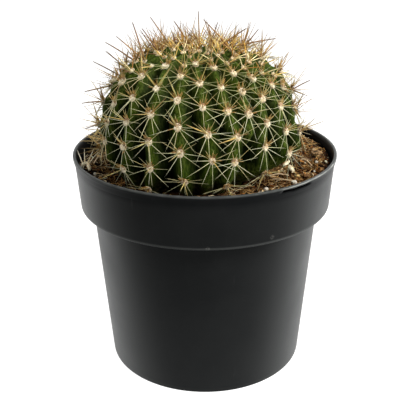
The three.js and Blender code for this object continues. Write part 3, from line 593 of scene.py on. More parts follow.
def make_pot():
    prof = rounded(
        [
            (0.0, RECESS, 0),
            (FOOT_RING_R - 1.5, RECESS, 0.6),
            (FOOT_RING_R, 0.0, 0.5),
            (FOOT_R - 0.1, 0.0, 0.6),
            (BODY_TOP_R, BAND_LOW_Z - 0.9, 0.7),
            (BAND_LOW_R + 0.35, BAND_LOW_Z - 0.55, 0.6),
            (RIM_R - 0.27, POT_H - LIP_DROP - 1.0, 3.0),
            (LIP_R - 0.05, POT_H - LIP_DROP / 2 + 0.7, 2.4),
            (LIP_R, POT_H, 0.55),
            (LIP_R - WALL, POT_H, 0.45),
            (RIM_R - WALL - 0.2, POT_H - LIP_DROP, 1.6),
            (BAND_LOW_R - WALL, BAND_LOW_Z + 1.6, 1.0),
            (BODY_TOP_R - WALL, BAND_LOW_Z + 1.2, 1.0),
            (body_r(FLOOR_TOP) - WALL, FLOOR_TOP, 2.2),
            (0.0, FLOOR_TOP, 0),
        ]
    )
    prof = spaced(prof, 3.0)
    seg = 360
    az = np.arange(seg) / seg * 360.0
    r = prof[1:-1, 0][:, None] * np.ones(seg)
    z = prof[1:-1, 1][:, None] * np.ones(seg)
    a = az[None, :] * np.ones(r.shape)
    # a knock on the outside of the band just under the rim, to the right of the front
    outer = np.zeros(r.shape, bool)
    top = int(np.argmax(prof[1:-1, 1]))
    outer[: top + 1] = True
    wob = vnoise(np.stack([a * 0.35, z * 0.2, 0 * z], -1), 5) - 0.5
    level = POT_H - 2.1 + 0.9 * wob
    along = smooth01((a - 30) / 2) * smooth01((46.5 - a) / 2)
    cut = np.exp(-(((z - level) / 0.8) ** 4)) * along * (z < POT_H - 0.25)
    chew = 0.35 + 0.65 * vnoise(np.stack([a * 0.9, 0 * z, 0 * z], -1), 9)
    r = r - np.where(outer, 1.15 * cut * chew, 0)
    # the moulding is very slightly out of round
    r = r + (r > 10) * (0.10 * np.sin(2 * a * RAD + 0.6) * smooth01(z / 100) - 0.10 * smooth01(z / 100))
    v = np.stack([r * np.sin(a * RAD), -r * np.cos(a * RAD), z], -1).reshape(-1, 3)
    rows = r.shape[0]
    k = np.arange(rows - 1)[:, None] * seg
    c = np.arange(seg)[None, :]
    c2 = (c + 1) % seg
    quads = np.stack([k + c, k + c2, k + seg + c2, k + seg + c], -1).reshape(-1, 4)
    lo, hi = len(v), len(v) + 1
    v = np.vstack([v, [0, 0, RECESS], [0, 0, FLOOR_TOP]])
    c = np.arange(seg)
    c2 = (c + 1) % seg
    tris = np.vstack([np.c_[c2, c, np.full(seg, lo)], np.c_[(rows - 1) * seg + c, (rows - 1) * seg + c2, np.full(seg, hi)]])
    # painted highlight along the top of the lip
    wear_and_highlight = smooth01((v[:, 2] - (POT_H - 0.95)) / 0.5) * (0.55 + 0.45 * vnoise(np.c_[np.arctan2(v[:, 0], v[:, 1]) * 30, v[:, 2], 0 * v[:, 0]], 14))
    # painted shade: the nick's groove is darkened
    knock_and_painted_shade = cut.ravel() * outer.ravel()
    knock_and_painted_shade = np.r_[knock_and_painted_shade, 0, 0]
    # painted highlight on the lip's edge above the nick
    lip = np.r_[(outer * along * np.exp(-(((z - (POT_H - 0.5)) / 0.3) ** 2))).ravel(), 0, 0]
    # the outer corner of the lip is painted pale as a highlight, partly rubbed wear, most of all at the right
    va = np.degrees(np.arctan2(v[:, 0], -v[:, 1]))
    corner = np.exp(-(((v[:, 2] - (POT_H - 0.35)) / 0.40) ** 2)) * smooth01((np.hypot(v[:, 0], v[:, 1]) - (LIP_R - 0.75)) / 0.4)
    patchy = vnoise(np.c_[va * 0.30, 0 * va, 0 * va], 31) ** 1.5
    rub_and_highlight = 0.15 + 0.95 * smooth01((va - 43) / 4) * smooth01((118 - va) / 20) + 0.6 * smooth01((-va - 55) / 20) * smooth01((va + 125) / 20)
    wear_and_highlight = np.clip(wear_and_highlight + 0.9 * lip + corner * rub_and_highlight * (0.35 + 1.3 * patchy), 0, 2.6) * (1 - knock_and_painted_shade)
    # the inside lies in the plant's own shade
    inner = np.r_[(~outer).ravel(), 1, 1] * (v[:, 2] > 3) * (v[:, 2] < POT_H - 1.0)
    knock_and_painted_shade = np.maximum(knock_and_painted_shade, 0.75 * inner)
    # painted highlight along the band's lower edge
    wear_and_highlight = wear_and_highlight + np.exp(-(((v[:, 2] - (BAND_LOW_Z + 0.3)) / 0.5) ** 2)) * (np.hypot(v[:, 0], v[:, 1]) > 73.2) * 0.6
    b = Batch()
    # duller under the lip
    dull = np.exp(-(((v[:, 2] - (POT_H - 3.6)) / 2.6) ** 4)) * (np.hypot(v[:, 0], v[:, 1]) > 75.2)
    b.add(v, tris, quads, np.c_[wear_and_highlight, knock_and_painted_shade, dull])
    pot = b.build("pot", POT_MAT, ["nursery_pot"])
    # drain holes
    h = Batch()
    for k in range(8):
        ang = (k + 0.5) / 8 * 2 * math.pi
        cx, cy = 42 * math.cos(ang), 42 * math.sin(ang)
        s = 32
        t = np.arange(s) / s * 2 * math.pi
        low = np.c_[cx + 4.5 * np.cos(t), cy + 4.5 * np.sin(t), np.full(s, -1.0)]
        high = low + [0, 0, 7.5]
        vv = np.vstack([low, high, [cx, cy, -1.0], [cx, cy, 6.5]])
        a0 = np.arange(s)
        a1 = (a0 + 1) % s
        h.add(vv, np.vstack([np.c_[a1, a0, np.full(s, 2 * s)], np.c_[s + a0, s + a1, np.full(s, 2 * s + 1)]]), np.c_[a0, a1, s + a1, s + a0])
    cutter = h.build("cutter", POT_MAT)
    cutter.parent = None
    mod = pot.modifiers.new("holes", "BOOLEAN")
    mod.operation = "DIFFERENCE"
    mod.solver = "EXACT"
    mod.object = cutter
    bpy.context.view_layer.update()
    dg = bpy.context.evaluated_depsgraph_get()
    cut_mesh = bpy.data.meshes.new_from_object(pot.evaluated_get(dg))
    pot.modifiers.clear()
    old = pot.data
    pot.data = cut_mesh
    bpy.data.meshes.remove(old)
    bpy.data.objects.remove(cutter)
    pot.data.polygons.foreach_set("use_smooth", np.ones(len(pot.data.polygons), bool))
    pot.data.set_sharp_from_angle(angle=38 * RAD)
    return pot


# ---------------------------------------------------------------- the plant's shape
CREST = []
for pts, _, _ in RIBS:
    rows = sorted((z, a) for a, z in pts)
    CREST.append((np.array([r[0] for r in rows], float), np.array([r[1] for r in rows], float)))


def crest_az(i, z):
    return np.interp(z, CREST[i][0], CREST[i][1])


def crest_r(az, z):
    az, z = np.broadcast_arrays(np.asarray(az, float), np.asarray(z, float))
    s = np.clip((z - Z_EQ) / STEM_UP, 0, 1)
    up = STEM_R * np.maximum(1 - s**STEM_POWER, 0) ** (1 / STEM_POWER)
    a = wrap(az)
    d = np.maximum((Z_EQ - z) / DROP, 0)
    low = STEM_R - np.interp(a, TUCK_AZ, TUCK) * d**DROP_POWER
    r = np.where(z >= Z_EQ, up, low)
    return r + 3 * np.exp(-(((a - 85) / 22) ** 2)) * np.exp(-(((z - 139) / 12) ** 2))


def stem_point(az, z, r):
    az, z, r = np.broadcast_arrays(*(np.asarray(q, float) for q in (az, z, r)))
    return np.stack(
        [
            STEM_X + LEAN_X * (z - Z_EQ) + r * np.sin(az * RAD),
            STEM_Y + LEAN_Y * (z - Z_EQ) - r * np.cos(az * RAD),
            z,
        ],
        -1,
    )


# height on the dome for an arc length measured down from the crown
arc_s, arc_z = [0.0], []
last = None
for k in range(901):
    zz = Z_EQ + STEM_UP * math.sin((90 - k * 0.1) * RAD) ** (2 / STEM_POWER)
    rr = float(crest_r(-90, zz))
    if last is not None:
        arc_s.append(arc_s[-1] + math.hypot(rr - last[0], zz - last[1]))
    arc_z.append(zz)
    last = (rr, zz)
for zz in np.arange(Z_EQ - 0.5, 124, -0.5):
    rr = float(crest_r(-90, zz))
    arc_s.append(arc_s[-1] + math.hypot(rr - last[0], zz - last[1]))
    arc_z.append(zz)
    last = (rr, zz)
arc_s, arc_z = np.array(arc_s), np.array(arc_z)


def z_at(s):
    return float(np.interp(s, arc_s, arc_z))


def s_at(z):
    return np.interp(-np.asarray(z, float), -arc_z, arc_s)


AREOLES = []  # dicts: az, z, rib, crown, age (0 young .. 1 old)
for i, (pts, count, fade) in enumerate(RIBS):
    if count:
        for k in range(count):
            AREOLES.append({"az": pts[k][0], "z": pts[k][1], "rib": i, "crown": False})
    else:
        first = 22 + 13 * ((i * 0.29) % 1) - 11
        for step in AREOLE_ARCS:
            s = first + step
            z = z_at(s)
            if s < 19 or z < 131 or (fade is not None and z < fade + 6):
                continue
            AREOLES.append({"az": float(crest_az(i, z)), "z": z, "rib": i, "crown": False})
# towards the growing point each rib carries younger areoles, closer and closer together
for i, (pts, _, fade) in enumerate(RIBS):
    mine = [float(s_at(a["z"])) for a in AREOLES if a["rib"] == i]
    s = min(mine) if mine else 24.0
    step = 7.2
    for _ in range(12):
        s -= step * (0.94 + 0.12 * ((i * 0.618) % 1))
        step = max(step * 0.88, 3.8) if s < 24 else 9.0
        if s < 3.4:
            break
        z = z_at(s)
        az = float(crest_az(i, z))
        here = stem_point(az, z, crest_r(az, z))
        others = [stem_point(a["az"], a["z"], crest_r(a["az"], a["z"])) for a in AREOLES]
        room = 3.5 + 1.5 * min(s / 16.0, 1.0)
        if min(np.linalg.norm(here - o) for o in others) > room:
            AREOLES.append({"az": az, "z": z, "rib": i, "crown": True})
for a in AREOLES:
    a["p"] = stem_point(a["az"], a["z"], crest_r(a["az"], a["z"]))
    a["s"] = float(s_at(a["z"]))
    a["age"] = float(np.clip((a["s"] - 14) / 60, 0, 1))


def rib_height(az, z, rc):
    """Depth below the crest surface, and the nearest rib's distance and number."""
    best = np.full(np.shape(az), 1e9)
    dist = np.full(np.shape(az), 1e9)
    for i, (_, _, fade) in enumerate(RIBS):
        d = rc * np.abs(wrap(az - crest_az(i, z))) * RAD
        h = np.hypot(RIB_SLOPE * d, RIB_CREST) - RIB_CREST
        if fade is not None:
            h = h + np.maximum(0, (fade - z) * 0.9)
        dist = np.where(h < best, d, dist)
        best = np.minimum(best, h)
    return best, dist


def areole_relief(az, z, rc):
    """Swelling of the crest round each areole, and the notch above it."""
    out = np.zeros(np.shape(az))
    s = s_at(z)
    for a in AREOLES:
        if a["crown"]:
            continue
        dz = np.abs(z - a["z"])
        near = dz < 14
        if not near.any():
            continue
        d = rc[near] * wrap(az[near] - a["az"]) * RAD
        ds = s[near] - a["s"]
        ok = np.exp(-((d / 4.6) ** 2))
        out[near] += 0.6 * np.exp(-((ds / 4.2) ** 2)) * ok
        out[near] -= 0.55 * np.exp(-(((ds + 6.2) / 1.7) ** 2)) * np.exp(-((d / 3.4) ** 2))
    return out


def crown_drop(az, z, s, dist):
    """Over the crown the valleys are cut downwards, each young areole has its own swelling, and the growing point is sunk."""
    level = smooth01((z - 170) / 14)
    valley = (np.hypot(1.15 * dist, 0.9) - 0.9) * level * smooth01((s - 2) / 7)
    out = np.minimum(valley, 3.2) + np.where(z > Z_EQ, 2.6 * np.exp(-((s / 9.0) ** 2)), 0)
    near = s < 30
    if near.any() and np.ndim(s):
        q = stem_point(az[near], z[near], crest_r(az[near], z[near]))
        swell = np.zeros(len(q))
        for a in AREOLES:
            if a["s"] < 27:
                d = np.linalg.norm(q - a["p"], axis=-1)
                swell = np.maximum(swell, np.exp(-((d / 2.3) ** 2)))
        out[near] -= 0.95 * swell
    return out


PER_RIB = 18
BURIED = [(123.2, 0.06, 30), (121.5, 0.15, 27), (119, 0.35, 22), (116, 0.55, 17), (113, 0.75, 13), (109.5, 0.9, 10.5), (106, 1, 9), (100, 1, 7.2), (95, 1, 6), (88, 1, 3), (85.2, 1, 1.4)]


def stem_rows():
    zs = []
    s = 2.0
    while s < s_at(Z_EQ - DROP + 0.05):
        zs.append(z_at(s))
        s += 0.62 if s < 70 else 0.58
    zs = [z for z in zs if z > SOIL_Z + 0.1] + [SOIL_Z]
    return np.array(zs)


def stem_mesh(grow=0.0, detail=True):
    zs = stem_rows() if detail else stem_rows()[::5]
    per = PER_RIB if detail else 6
    cols = len(RIBS) * per
    rows = []
    # azimuth of each column at each row follows the ribs
    allz = np.r_[zs, [SOIL_Z] * len(BURIED)]
    az = np.zeros((len(allz), cols))
    for i in range(len(RIBS)):
        a0 = crest_az(i, allz)
        a1 = crest_az((i + 1) % len(RIBS), allz) + (360 if i == len(RIBS) - 1 else 0)
        a1 = np.where(a1 < a0, a1 + 360, a1)
        for k in range(per):
            az[:, i * per + k] = a0 + (a1 - a0) * k / per
    z = allz[:, None] * np.ones(cols)
    rc = crest_r(az, z)
    h, dist = rib_height(az, z, rc)
    # a valley is creased but not knife-sharp, and a flank is a little full
    full = 0.55 * np.sin(np.clip(h / 7.0, 0, 1) * math.pi)
    r = rc - h + full
    if detail:
        r = r + areole_relief(az, z, rc)
        p = stem_point(az, z, r)
        r = r + (fbm(p / 9.0, 3, 3) - 0.5) * 1.1 + (fbm(p / np.array([2.2, 2.2, 5.0]), 3, 8) - 0.5) * 0.34
    s = s_at(z)
    r = np.maximum(r, 0.6) + grow
    p = stem_point(az, z, r)
    p[..., 2] += grow * np.clip((z - Z_EQ) / STEM_UP, 0, 1) - crown_drop(az, z, s, dist)
    for j, (zb, t, rb) in enumerate(BURIED):
        k = len(zs) + j
        rr = rb + grow
        round_ = np.stack([ROOT_X + rr * np.sin(az[k] * RAD), ROOT_Y - rr * np.cos(az[k] * RAD), np.full(cols, zb)], -1)
        p[k] = p[k] * (1 - t) + round_ * t
        p[k, :, 2] = zb
    n = len(allz)
    v = p.reshape(-1, 3)
    k = np.arange(n - 1)[:, None] * cols
    c = np.arange(cols)[None, :]
    c2 = (c + 1) % cols
    quads = np.stack([k + c, k + cols + c, k + cols + c2, k + c2], -1).reshape(-1, 4)
    top = len(v)
    v = np.vstack([v, stem_point(0, Z_EQ + STEM_UP + grow - 2.2, 0)[None, :], [[ROOT_X, ROOT_Y, 84.2 - grow]]])
    c = np.arange(cols)
    c2 = (c + 1) % cols
    tris = np.vstack([np.c_[c, c2, np.full(cols, top)], np.c_[(n - 1) * cols + c2, (n - 1) * cols + c, np.full(cols, top + 1)]])
    # tints
    most = np.hypot(RIB_SLOPE * rc * math.pi / len(RIBS), RIB_CREST) - RIB_CREST
    # painted shade: how deep in its valley, which darkens the skin
    deep = np.clip(h / np.maximum(0.85 * most, 0.9), 0, 1)
    bloom_and_painted_light = np.exp(-((dist / 3.0) ** 2)) * (0.45 + 0.55 * smooth01((z - 130) / 30)) + 0.28 * np.exp(-((dist / 6.0) ** 2))
    # painted light: paler towards the foot at the right of the front, where the lamps barely reach the undercut, and
    # the valleys' painted shade is lifted there
    foot = smooth01((143 - z) / 9) * np.exp(-(((wrap(az) - 48) / 34) ** 2))
    bloom_and_painted_light = np.maximum(bloom_and_painted_light, 2.0 * foot)
    deep = deep * (1 - 0.95 * foot)
    young = smooth01((z - 168) / 22)
    old = smooth01((134 - z) / 9) * smooth01((dist) / 2)
    colour = np.stack([deep, np.clip(bloom_and_painted_light, 0, 2), young, old], -1).reshape(-1, 4)
    colour = np.vstack([colour, [[0, 0, 1, 0], [0, 0, 0, 1]]])
    return v, tris, quads, colour


def make_stem():
    v, tris, quads, colour = stem_mesh()
    b = Batch()
    b.add(v, tris, quads, colour)
    return b.build("stem", SKIN_MAT, ["cactus_stem"])


# ---------------------------------------------------------------- areoles and spines
def areole_frame(a):
    az, z = a["az"], a["z"]

    def at(q, h):
        return stem_point(q, h, crest_r(q, h))

    p = at(az, z)
    down = unit(at(az, z - 0.4) - at(az, min(z + 0.4, Z_EQ + STEM_UP - 0.02)))
    side = np.array([math.cos(az * RAD), math.sin(az * RAD), 0.0])
    out = unit(np.cross(side, down))
    if out @ np.array([math.sin(az * RAD), -math.cos(az * RAD), 0.4]) < 0:
        out = -out
    if a["crown"]:
        p = p + np.array([0, 0, 0.95 - 2.6 * math.exp(-((a["s"] / 9.0) ** 2))])
    else:
        p = p + out * 0.45
    up = np.cross(side, out)
    if up[2] < 0 and not a["crown"]:
        up = -up
    return p, side, up, out


SOIL_CLEAR = 1.2
REACH = 75.9


def fits(points):
    for q in points[1:]:
        r = math.hypot(q[0], q[1])
        if q[2] < SOIL_Z + SOIL_CLEAR:
            return False
        if q[2] < POT_H + 1.0 and r > 72.2:
            return False
        if abs(q[0]) > REACH or abs(q[1]) > REACH or q[2] > 211.6:
            return False
    return True


def spine_line(base, d, length, bend, n):
    t = np.linspace(0, 1, n)[:, None]
    return base + d * length * t + bend * length * t**2


def lerp3(a, b, t):
    return np.asarray(a) * (1 - t) + np.asarray(b) * t


CREAM = (0.575, 0.60, 0.365)
BONE = (0.60, 0.63, 0.47)
STRAW = (0.445, 0.405, 0.155)
GOLD = (0.51, 0.345, 0.080)
AMBER = (0.31, 0.148, 0.028)
RUST = (0.15, 0.056, 0.012)
UMBER = (0.075, 0.035, 0.020)
ASH = (0.13, 0.10, 0.08)

# angle in the areole's plane (0 right, 90 up the rib), length, lift over the skin
RADIALS = [
    (4, 12.5, 12),
    (-27, 13.5, 9),
    (-58, 14.0, 9),
    (-90, 13.5, 12),
    (-121, 14.0, 9),
    (-153, 13.5, 9),
    (176, 12.5, 12),
    (148, 11.5, 18),
    (33, 11.5, 18),
    (64, 8.5, 30),
    (116, 8.5, 30),
    (90, 7.0, 40),
]

# the longest spines of the outline: the point where each leaves the others and its tip (x, z)
OUTLINE = [
    (-2.6, 197.1, -3.1, 211.6),
    (-22.6, 198.2, -28.9, 208.5),
    (-33.9, 195.6, -38.4, 205.9),
    (-10.8, 196.0, -16.4, 206.5),
    (-26.5, 188.9, -33.5, 202.5),
    (-45.8, 190.0, -53.7, 195.2),
    (-39.4, 193.1, -47.7, 198.5),
    (-48.7, 185.5, -53.6, 190.3),
    (4.6, 198.3, 7.3, 205.7),
    (10.1, 196.3, -0.8, 207.1),
    (21.7, 194.1, 29.2, 201.9),
    (23.9, 193.8, 38.9, 196.7),
    (12.0, 194.9, 23.0, 202.3),
    (46.9, 170.9, 58.3, 173.9),
    (-54.2, 178.6, -60.9, 184.8),
    (-56.8, 167.7, -66.6, 167.8),
    (-55.4, 163.5, -68.6, 161.3),
    (-57.8, 151.1, -67.6, 146.5),
]


def make_spines():
    rng = np.random.default_rng(41)
    b = Batch()
    wool = Batch()

    def add(line, rad, sides, flat, c_at):
        v, t, q, w = tube(line, rad, sides, flat, True, rng.random() * 3)
        b.add(v, t, q, np.array([c_at(x) for x in w]))

    frames = []
    for a in AREOLES:
        p, side, up, out = areole_frame(a)
        frames.append((p, side, up, out))
        age = a["age"]
        crown = a["crown"]
        size = (0.74 if crown else 1.0) * (0.9 + 0.2 * rng.random())
        base = p + out * 0.3
        young = (1 - age) ** 1.3
        rx, ry, rz = 1.75 * size, 2.2 * size, 1.05 * size
        low = 0.4 * float(smooth01((137 - a["z"]) / 8))
        # at the sides the coat is darker
        edge = not crown and abs(wrap(a["az"])) > 64 and (a["z"] > 150 or wrap(a["az"]) > 0)
        chosen = RADIALS if not crown else RADIALS[:9:2] + [RADIALS[9], RADIALS[10]]
        skip = set()
        if not crown:
            skip = {int(rng.integers(9, 12))} if a["s"] > 46 else set()
            if rng.random() < 0.35:
                skip.add(int(rng.integers(0, 9)))
        # the upper shoulder's coat is thinner, and its spines are painted darker as painted shade, against the strong
        # top light
        shoulder = not crown and 22 < a["s"] < 52 and abs(wrap(a["az"])) < 45
        if shoulder:
            skip |= {int(rng.integers(7, 9)), int(rng.integers(9, 12))}
        # low on the left the spines are straw-coloured, and painted lighter as painted light against the shade they lie
        # in
        straw_and_painted_light = wrap(a["az"]) < -58 and a["z"] < 153
        bead = []
        for k, (ang, full, lift) in enumerate(chosen):
            if k in skip:
                continue
            ang = ang + rng.normal(0, 6.5)
            lift = lift + abs(rng.normal(0, 5.0)) + 30 * young**1.5
            if crown:
                if rng.random() < 0.47 + (0.18 if 13 < a["s"] < 40 and abs(wrap(a["az"])) < 70 else 0.0):
                    continue
                lift = 26 + 38 * rng.random()
            length = full * (0.82 + 0.30 * rng.random()) * (0.74 + 0.26 * min(1, age + 0.4))
            if crown:
                length = 6.0 + 6.5 * rng.random()
            flat = side * math.cos(ang * RAD) + up * math.sin(ang * RAD)
            d = unit(flat * math.cos(lift * RAD) + out * math.sin(lift * RAD))
            reach = 1.0 / math.hypot(math.cos(ang * RAD) / rx, math.sin(ang * RAD) / ry)
            start = base + flat * reach * 0.72 + out * (0.2 + 0.2 * rng.random())
            bend = -out * (0.02 + 0.06 * rng.random()) + (rng.random(3) - 0.5) * 0.06
            line = spine_line(start, d, length, bend, 6)
            while length > 3.5 and not fits(line):
                length *= 0.9
                line = spine_line(start, d, length, bend, 6)
            if not fits(line):
                continue
            thick = (0.126 + 0.036 * rng.random()) * (1.85 if crown else 1.0)
            rad = thick * np.array([1.35, 1.05, 0.95, 0.78, 0.52, 0.0])
            upper = float(smooth01((math.sin(ang * RAD) + 0.1) / 0.8))
            tone = lerp3(CREAM, BONE, rng.random())
            tone = lerp3(tone, STRAW, float(np.clip(0.25 + 0.5 * upper + 0.5 * young + 0.3 * low + rng.normal(0, 0.16), 0, 1)))
            tone = lerp3(tone, GOLD, float(np.clip(0.60 * young + 0.36 * upper - 0.12 + rng.normal(0, 0.15), 0, 1)))
            tone = lerp3(tone, AMBER, float(np.clip(0.25 * low + 0.20 * young * rng.random(), 0, 1)))
            if crown:
                tone = np.array([(0.96, 0.82, 0.45), (0.86, 0.60, 0.17), (0.68, 0.38, 0.050), (0.40, 0.165, 0.014), (0.14, 0.050, 0.007)][int(rng.choice(5, p=[0.34, 0.22, 0.17, 0.12, 0.15]))])
            if edge:
                tone = lerp3(tone, AMBER, 0.35) * 0.85
            # painted shade on the upper shoulder's spines
            if shoulder:
                tone = np.asarray(tone) * np.array([0.72, 0.80, 0.68])
            # painted shade: low on the left the spines are darkened
            if not crown and not straw_and_painted_light and a["az"] < 0 and a["z"] < 150:
                tone = np.asarray(tone) * 0.86
            # painted light with the straw colour, low on the left
            if straw_and_painted_light:
                tone = lerp3(tone, (0.92, 0.70, 0.34), 0.6)
                rad = rad * 1.2
            foot = lerp3(tone, AMBER, float(np.clip(0.10 + 0.65 * upper + 0.1 * young, 0, 0.85)))
            if crown:
                foot = lerp3(tone, (0.84, 0.66, 0.28), 0.5 * rng.random())
            tip = lerp3(lerp3(tone, BONE, 0.4), UMBER, float(np.clip(0.10 + 0.5 * young, 0, 0.7)))
            add(line, rad, 5, 0.85, lambda x: lerp3(lerp3(foot, tone, smooth01(x / 0.22)), tip, smooth01((x - 0.62) / 0.38)))
            bead.append((base + flat * reach * 0.62 + out * 0.42 * rz, upper))
        # central spines stand out from the skin
        n = (2 if rng.random() < 0.25 else 1) if crown else (2 if rng.random() < 0.5 else 1) + (1 if young > 0.35 else 0)
        if not crown and abs(wrap(a["az"])) > 62:
            n += 1
        if not crown and a["s"] < 46 and abs(wrap(a["az"])) > 50:
            n += 1
        left = not crown and -125 < wrap(a["az"]) < -58 and a["z"] < 164
        if left:
            n += 3
        right = not crown and 60 < wrap(a["az"]) < 118 and a["z"] < 168
        if right:
            n += 2
        for k in range(n):
            th = rng.random() * 2 * math.pi
            lean = 10 + 38 * rng.random()
            d = unit(out + (side * math.cos(th) + up * math.sin(th)) * math.tan(lean * RAD) + np.array([0, 0, 0.22 * (1 - age)]))
            length = (12.0 + 6.5 * rng.random()) * (0.85 + 0.2 * young) * (1.12 if left or right else 1.0)
            thick = (0.25 + 0.07 * rng.random()) * (0.82 if left or right else 1.0)
            if crown:
                length = 8.5 + 7.0 * rng.random() ** 1.2
            elif rng.random() < 0.16:
                # now and then a broad golden one lies nearly along the skin
                ang = float(rng.choice([168, 192, 10, -12, 60, 120])) + rng.normal(0, 10)
                d = unit(side * math.cos(ang * RAD) + up * math.sin(ang * RAD) + out * 0.42)
                thick = 0.48 + 0.14 * rng.random()
                length = 13 + 3 * rng.random()
            start = base + (side * (rng.random() - 0.5) + up * (rng.random() - 0.2)) * 0.9 * size
            bend = (rng.random(3) - 0.5) * 0.10
            line = spine_line(start, d, length, bend, 7)
            while length > 4 and not fits(line):
                length *= 0.93
                line = spine_line(start, d, length, bend, 7)
            if not fits(line):
                continue
            rad = thick * np.array([1.25, 1.0, 0.9, 0.78, 0.60, 0.38, 0.0])
            tone = lerp3(STRAW, GOLD, float(np.clip(rng.random() + 0.3 * young, 0, 1)))
            tone = lerp3(tone, AMBER, float(np.clip(0.10 + 0.6 * young + (0.45 if edge else 0.0) + rng.normal(0, 0.2), 0, 1)))
            # painted light with the straw colour, low on the left
            if straw_and_painted_light:
                tone = lerp3(tone, (0.90, 0.62, 0.26), 0.6)
            # painted shade on the upper shoulder's spines
            if shoulder:
                tone = np.asarray(tone) * np.array([0.80, 0.90, 0.80])
            foot = lerp3(tone, RUST, float(np.clip(0.35 + 0.25 * young + rng.normal(0, 0.15), 0, 1)) * (0.4 if straw_and_painted_light else 1.0))
            tip = lerp3(UMBER, ASH, rng.random())
            tipped = float(np.clip(0.45 + 0.5 * young, 0, 1))
            add(line, rad, 6, 0.7, lambda x: lerp3(lerp3(foot, tone, smooth01(x / 0.3)), tip, tipped * smooth01((x - 0.5) / 0.35)))
        # a tuft of short brown stubs above the cushion
        for k in range(0 if crown else 12):
            ang = 90 + rng.normal(0, 46)
            lift = 22 + 40 * rng.random()
            flat = side * math.cos(ang * RAD) + up * math.sin(ang * RAD)
            d = unit(flat * math.cos(lift * RAD) + out * math.sin(lift * RAD))
            length = 1.4 + 3.0 * rng.random()
            line = spine_line(base + flat * ry * 0.85, d, length, (rng.random(3) - 0.5) * 0.2, 4)
            if fits(line):
                tone = lerp3(GOLD, RUST, rng.random() ** 0.8)
                add(line, 0.25 * np.array([1.2, 1, 0.7, 0]), 4, 1.0, lambda x: lerp3(tone, AMBER, x))
        # felt: a low oval cushion, darker in the middle and on its upper side
        vv, ff = ICO[2]
        j = 0.80 + 0.40 * fbm(vv * 2.6 + rng.random(3) * 50, 2, 4)
        w3 = vv * j[:, None] * np.array([rx, ry, rz])
        pts = p + w3[:, :1] * side + w3[:, 1:2] * up + (w3[:, 2:3] + 0.1) * out
        high = smooth01((w3[:, 1] / ry - 0.15) / 0.7)[:, None]
        mid = np.exp(-((w3[:, 0] / (0.42 * rx)) ** 2 + ((w3[:, 1] - 0.1) / (0.42 * ry)) ** 2))[:, None] * (w3[:, 2:3] > 0)
        pale = np.array([0.66, 0.56, 0.37])
        tan = np.array([0.42, 0.23, 0.09])
        deepest = np.array([0.16, 0.065, 0.03])
        c = pale * (1 - high * 0.8) + tan * high * 0.8
        c = c * (1 - 0.5 * mid) + deepest * 0.5 * mid
        c = c * (1 - 0.35 * young) + np.array([0.66, 0.42, 0.16]) * 0.35 * young
        c = c * (1 - 0.55 * low) + deepest * 1.8 * 0.55 * low
        # painted light: on the left, in shade, the felt and beads are painted paler
        left_painted_light = 0.55 * float(smooth01((-wrap(a["az"]) - 12) / 20) * smooth01((wrap(a["az"]) + 120) / 20))
        c = c * (1 - left_painted_light) + np.array([1.0, 0.88, 0.60]) * left_painted_light
        wool.add(pts, ff, None, np.clip(c * (0.85 + 0.3 * rng.random()), 0, 1))
        # the swollen feet of the spines, like beads round the cushion
        bv, bf = ICO[1] if a["z"] > 0 and not crown and abs(wrap(a["az"])) < 75 else ICO[0]
        for _ in range(13 if not crown else 4):
            th = rng.random() * 2 * math.pi
            rr = 0.25 + 0.65 * math.sqrt(rng.random())
            q0 = p + side * math.cos(th) * rr * rx + up * math.sin(th) * rr * ry + out * (0.1 + rz * 0.8 * math.sqrt(1 - rr * rr))
            bead.append((q0, float(smooth01(math.sin(th) * rr * 1.6 - 0.5)) * (0.5 + 0.5 * rng.random())))
        for q0, upper in bead:
            sz = (0.44 + 0.16 * rng.random()) * (0.7 if crown else 1.0)
            tone = lerp3((0.88, 0.82, 0.64), (0.62, 0.46, 0.25), rng.random() ** 1.2)
            tone = lerp3(tone, (1.0, 0.94, 0.74), left_painted_light)
            tone = lerp3(tone, (0.30, 0.125, 0.035), min(0.9 * upper + 0.35 * low, 0.92))
            wool.add(q0 + bv * sz * (0.85 + 0.3 * rng.random(3)), bf, None, np.clip(tone, 0, 1))
        for _ in range(12 if not crown else 7):
            th = rng.random() * 2 * math.pi
            rr = math.sqrt(rng.random())
            q0 = p + side * math.cos(th) * rr * rx * 0.95 + up * math.sin(th) * rr * ry * 0.95 + out * (0.2 + rz * 0.75 * math.sqrt(max(0.0, 1 - rr * rr)))
            dd = unit(out * (0.5 + rng.random()) + side * math.cos(th) * rr * 1.3 + up * math.sin(th) * rr * 1.3 + (rng.random(3) - 0.5) * 0.9)
            ln = 0.5 + 0.9 * rng.random()
            line = spine_line(q0, dd, ln, (rng.random(3) - 0.5) * 0.5, 3)
            v, t, q, w = tube(line, [0.09, 0.07, 0.0], 3)
            cc = lerp3((0.86, 0.78, 0.58), tan, float(0.8 * smooth01(math.sin(th) * rr + 0.2) * rng.random() + 0.2 * young))
            wool.add(v, t, q, np.clip(cc, 0, 1))
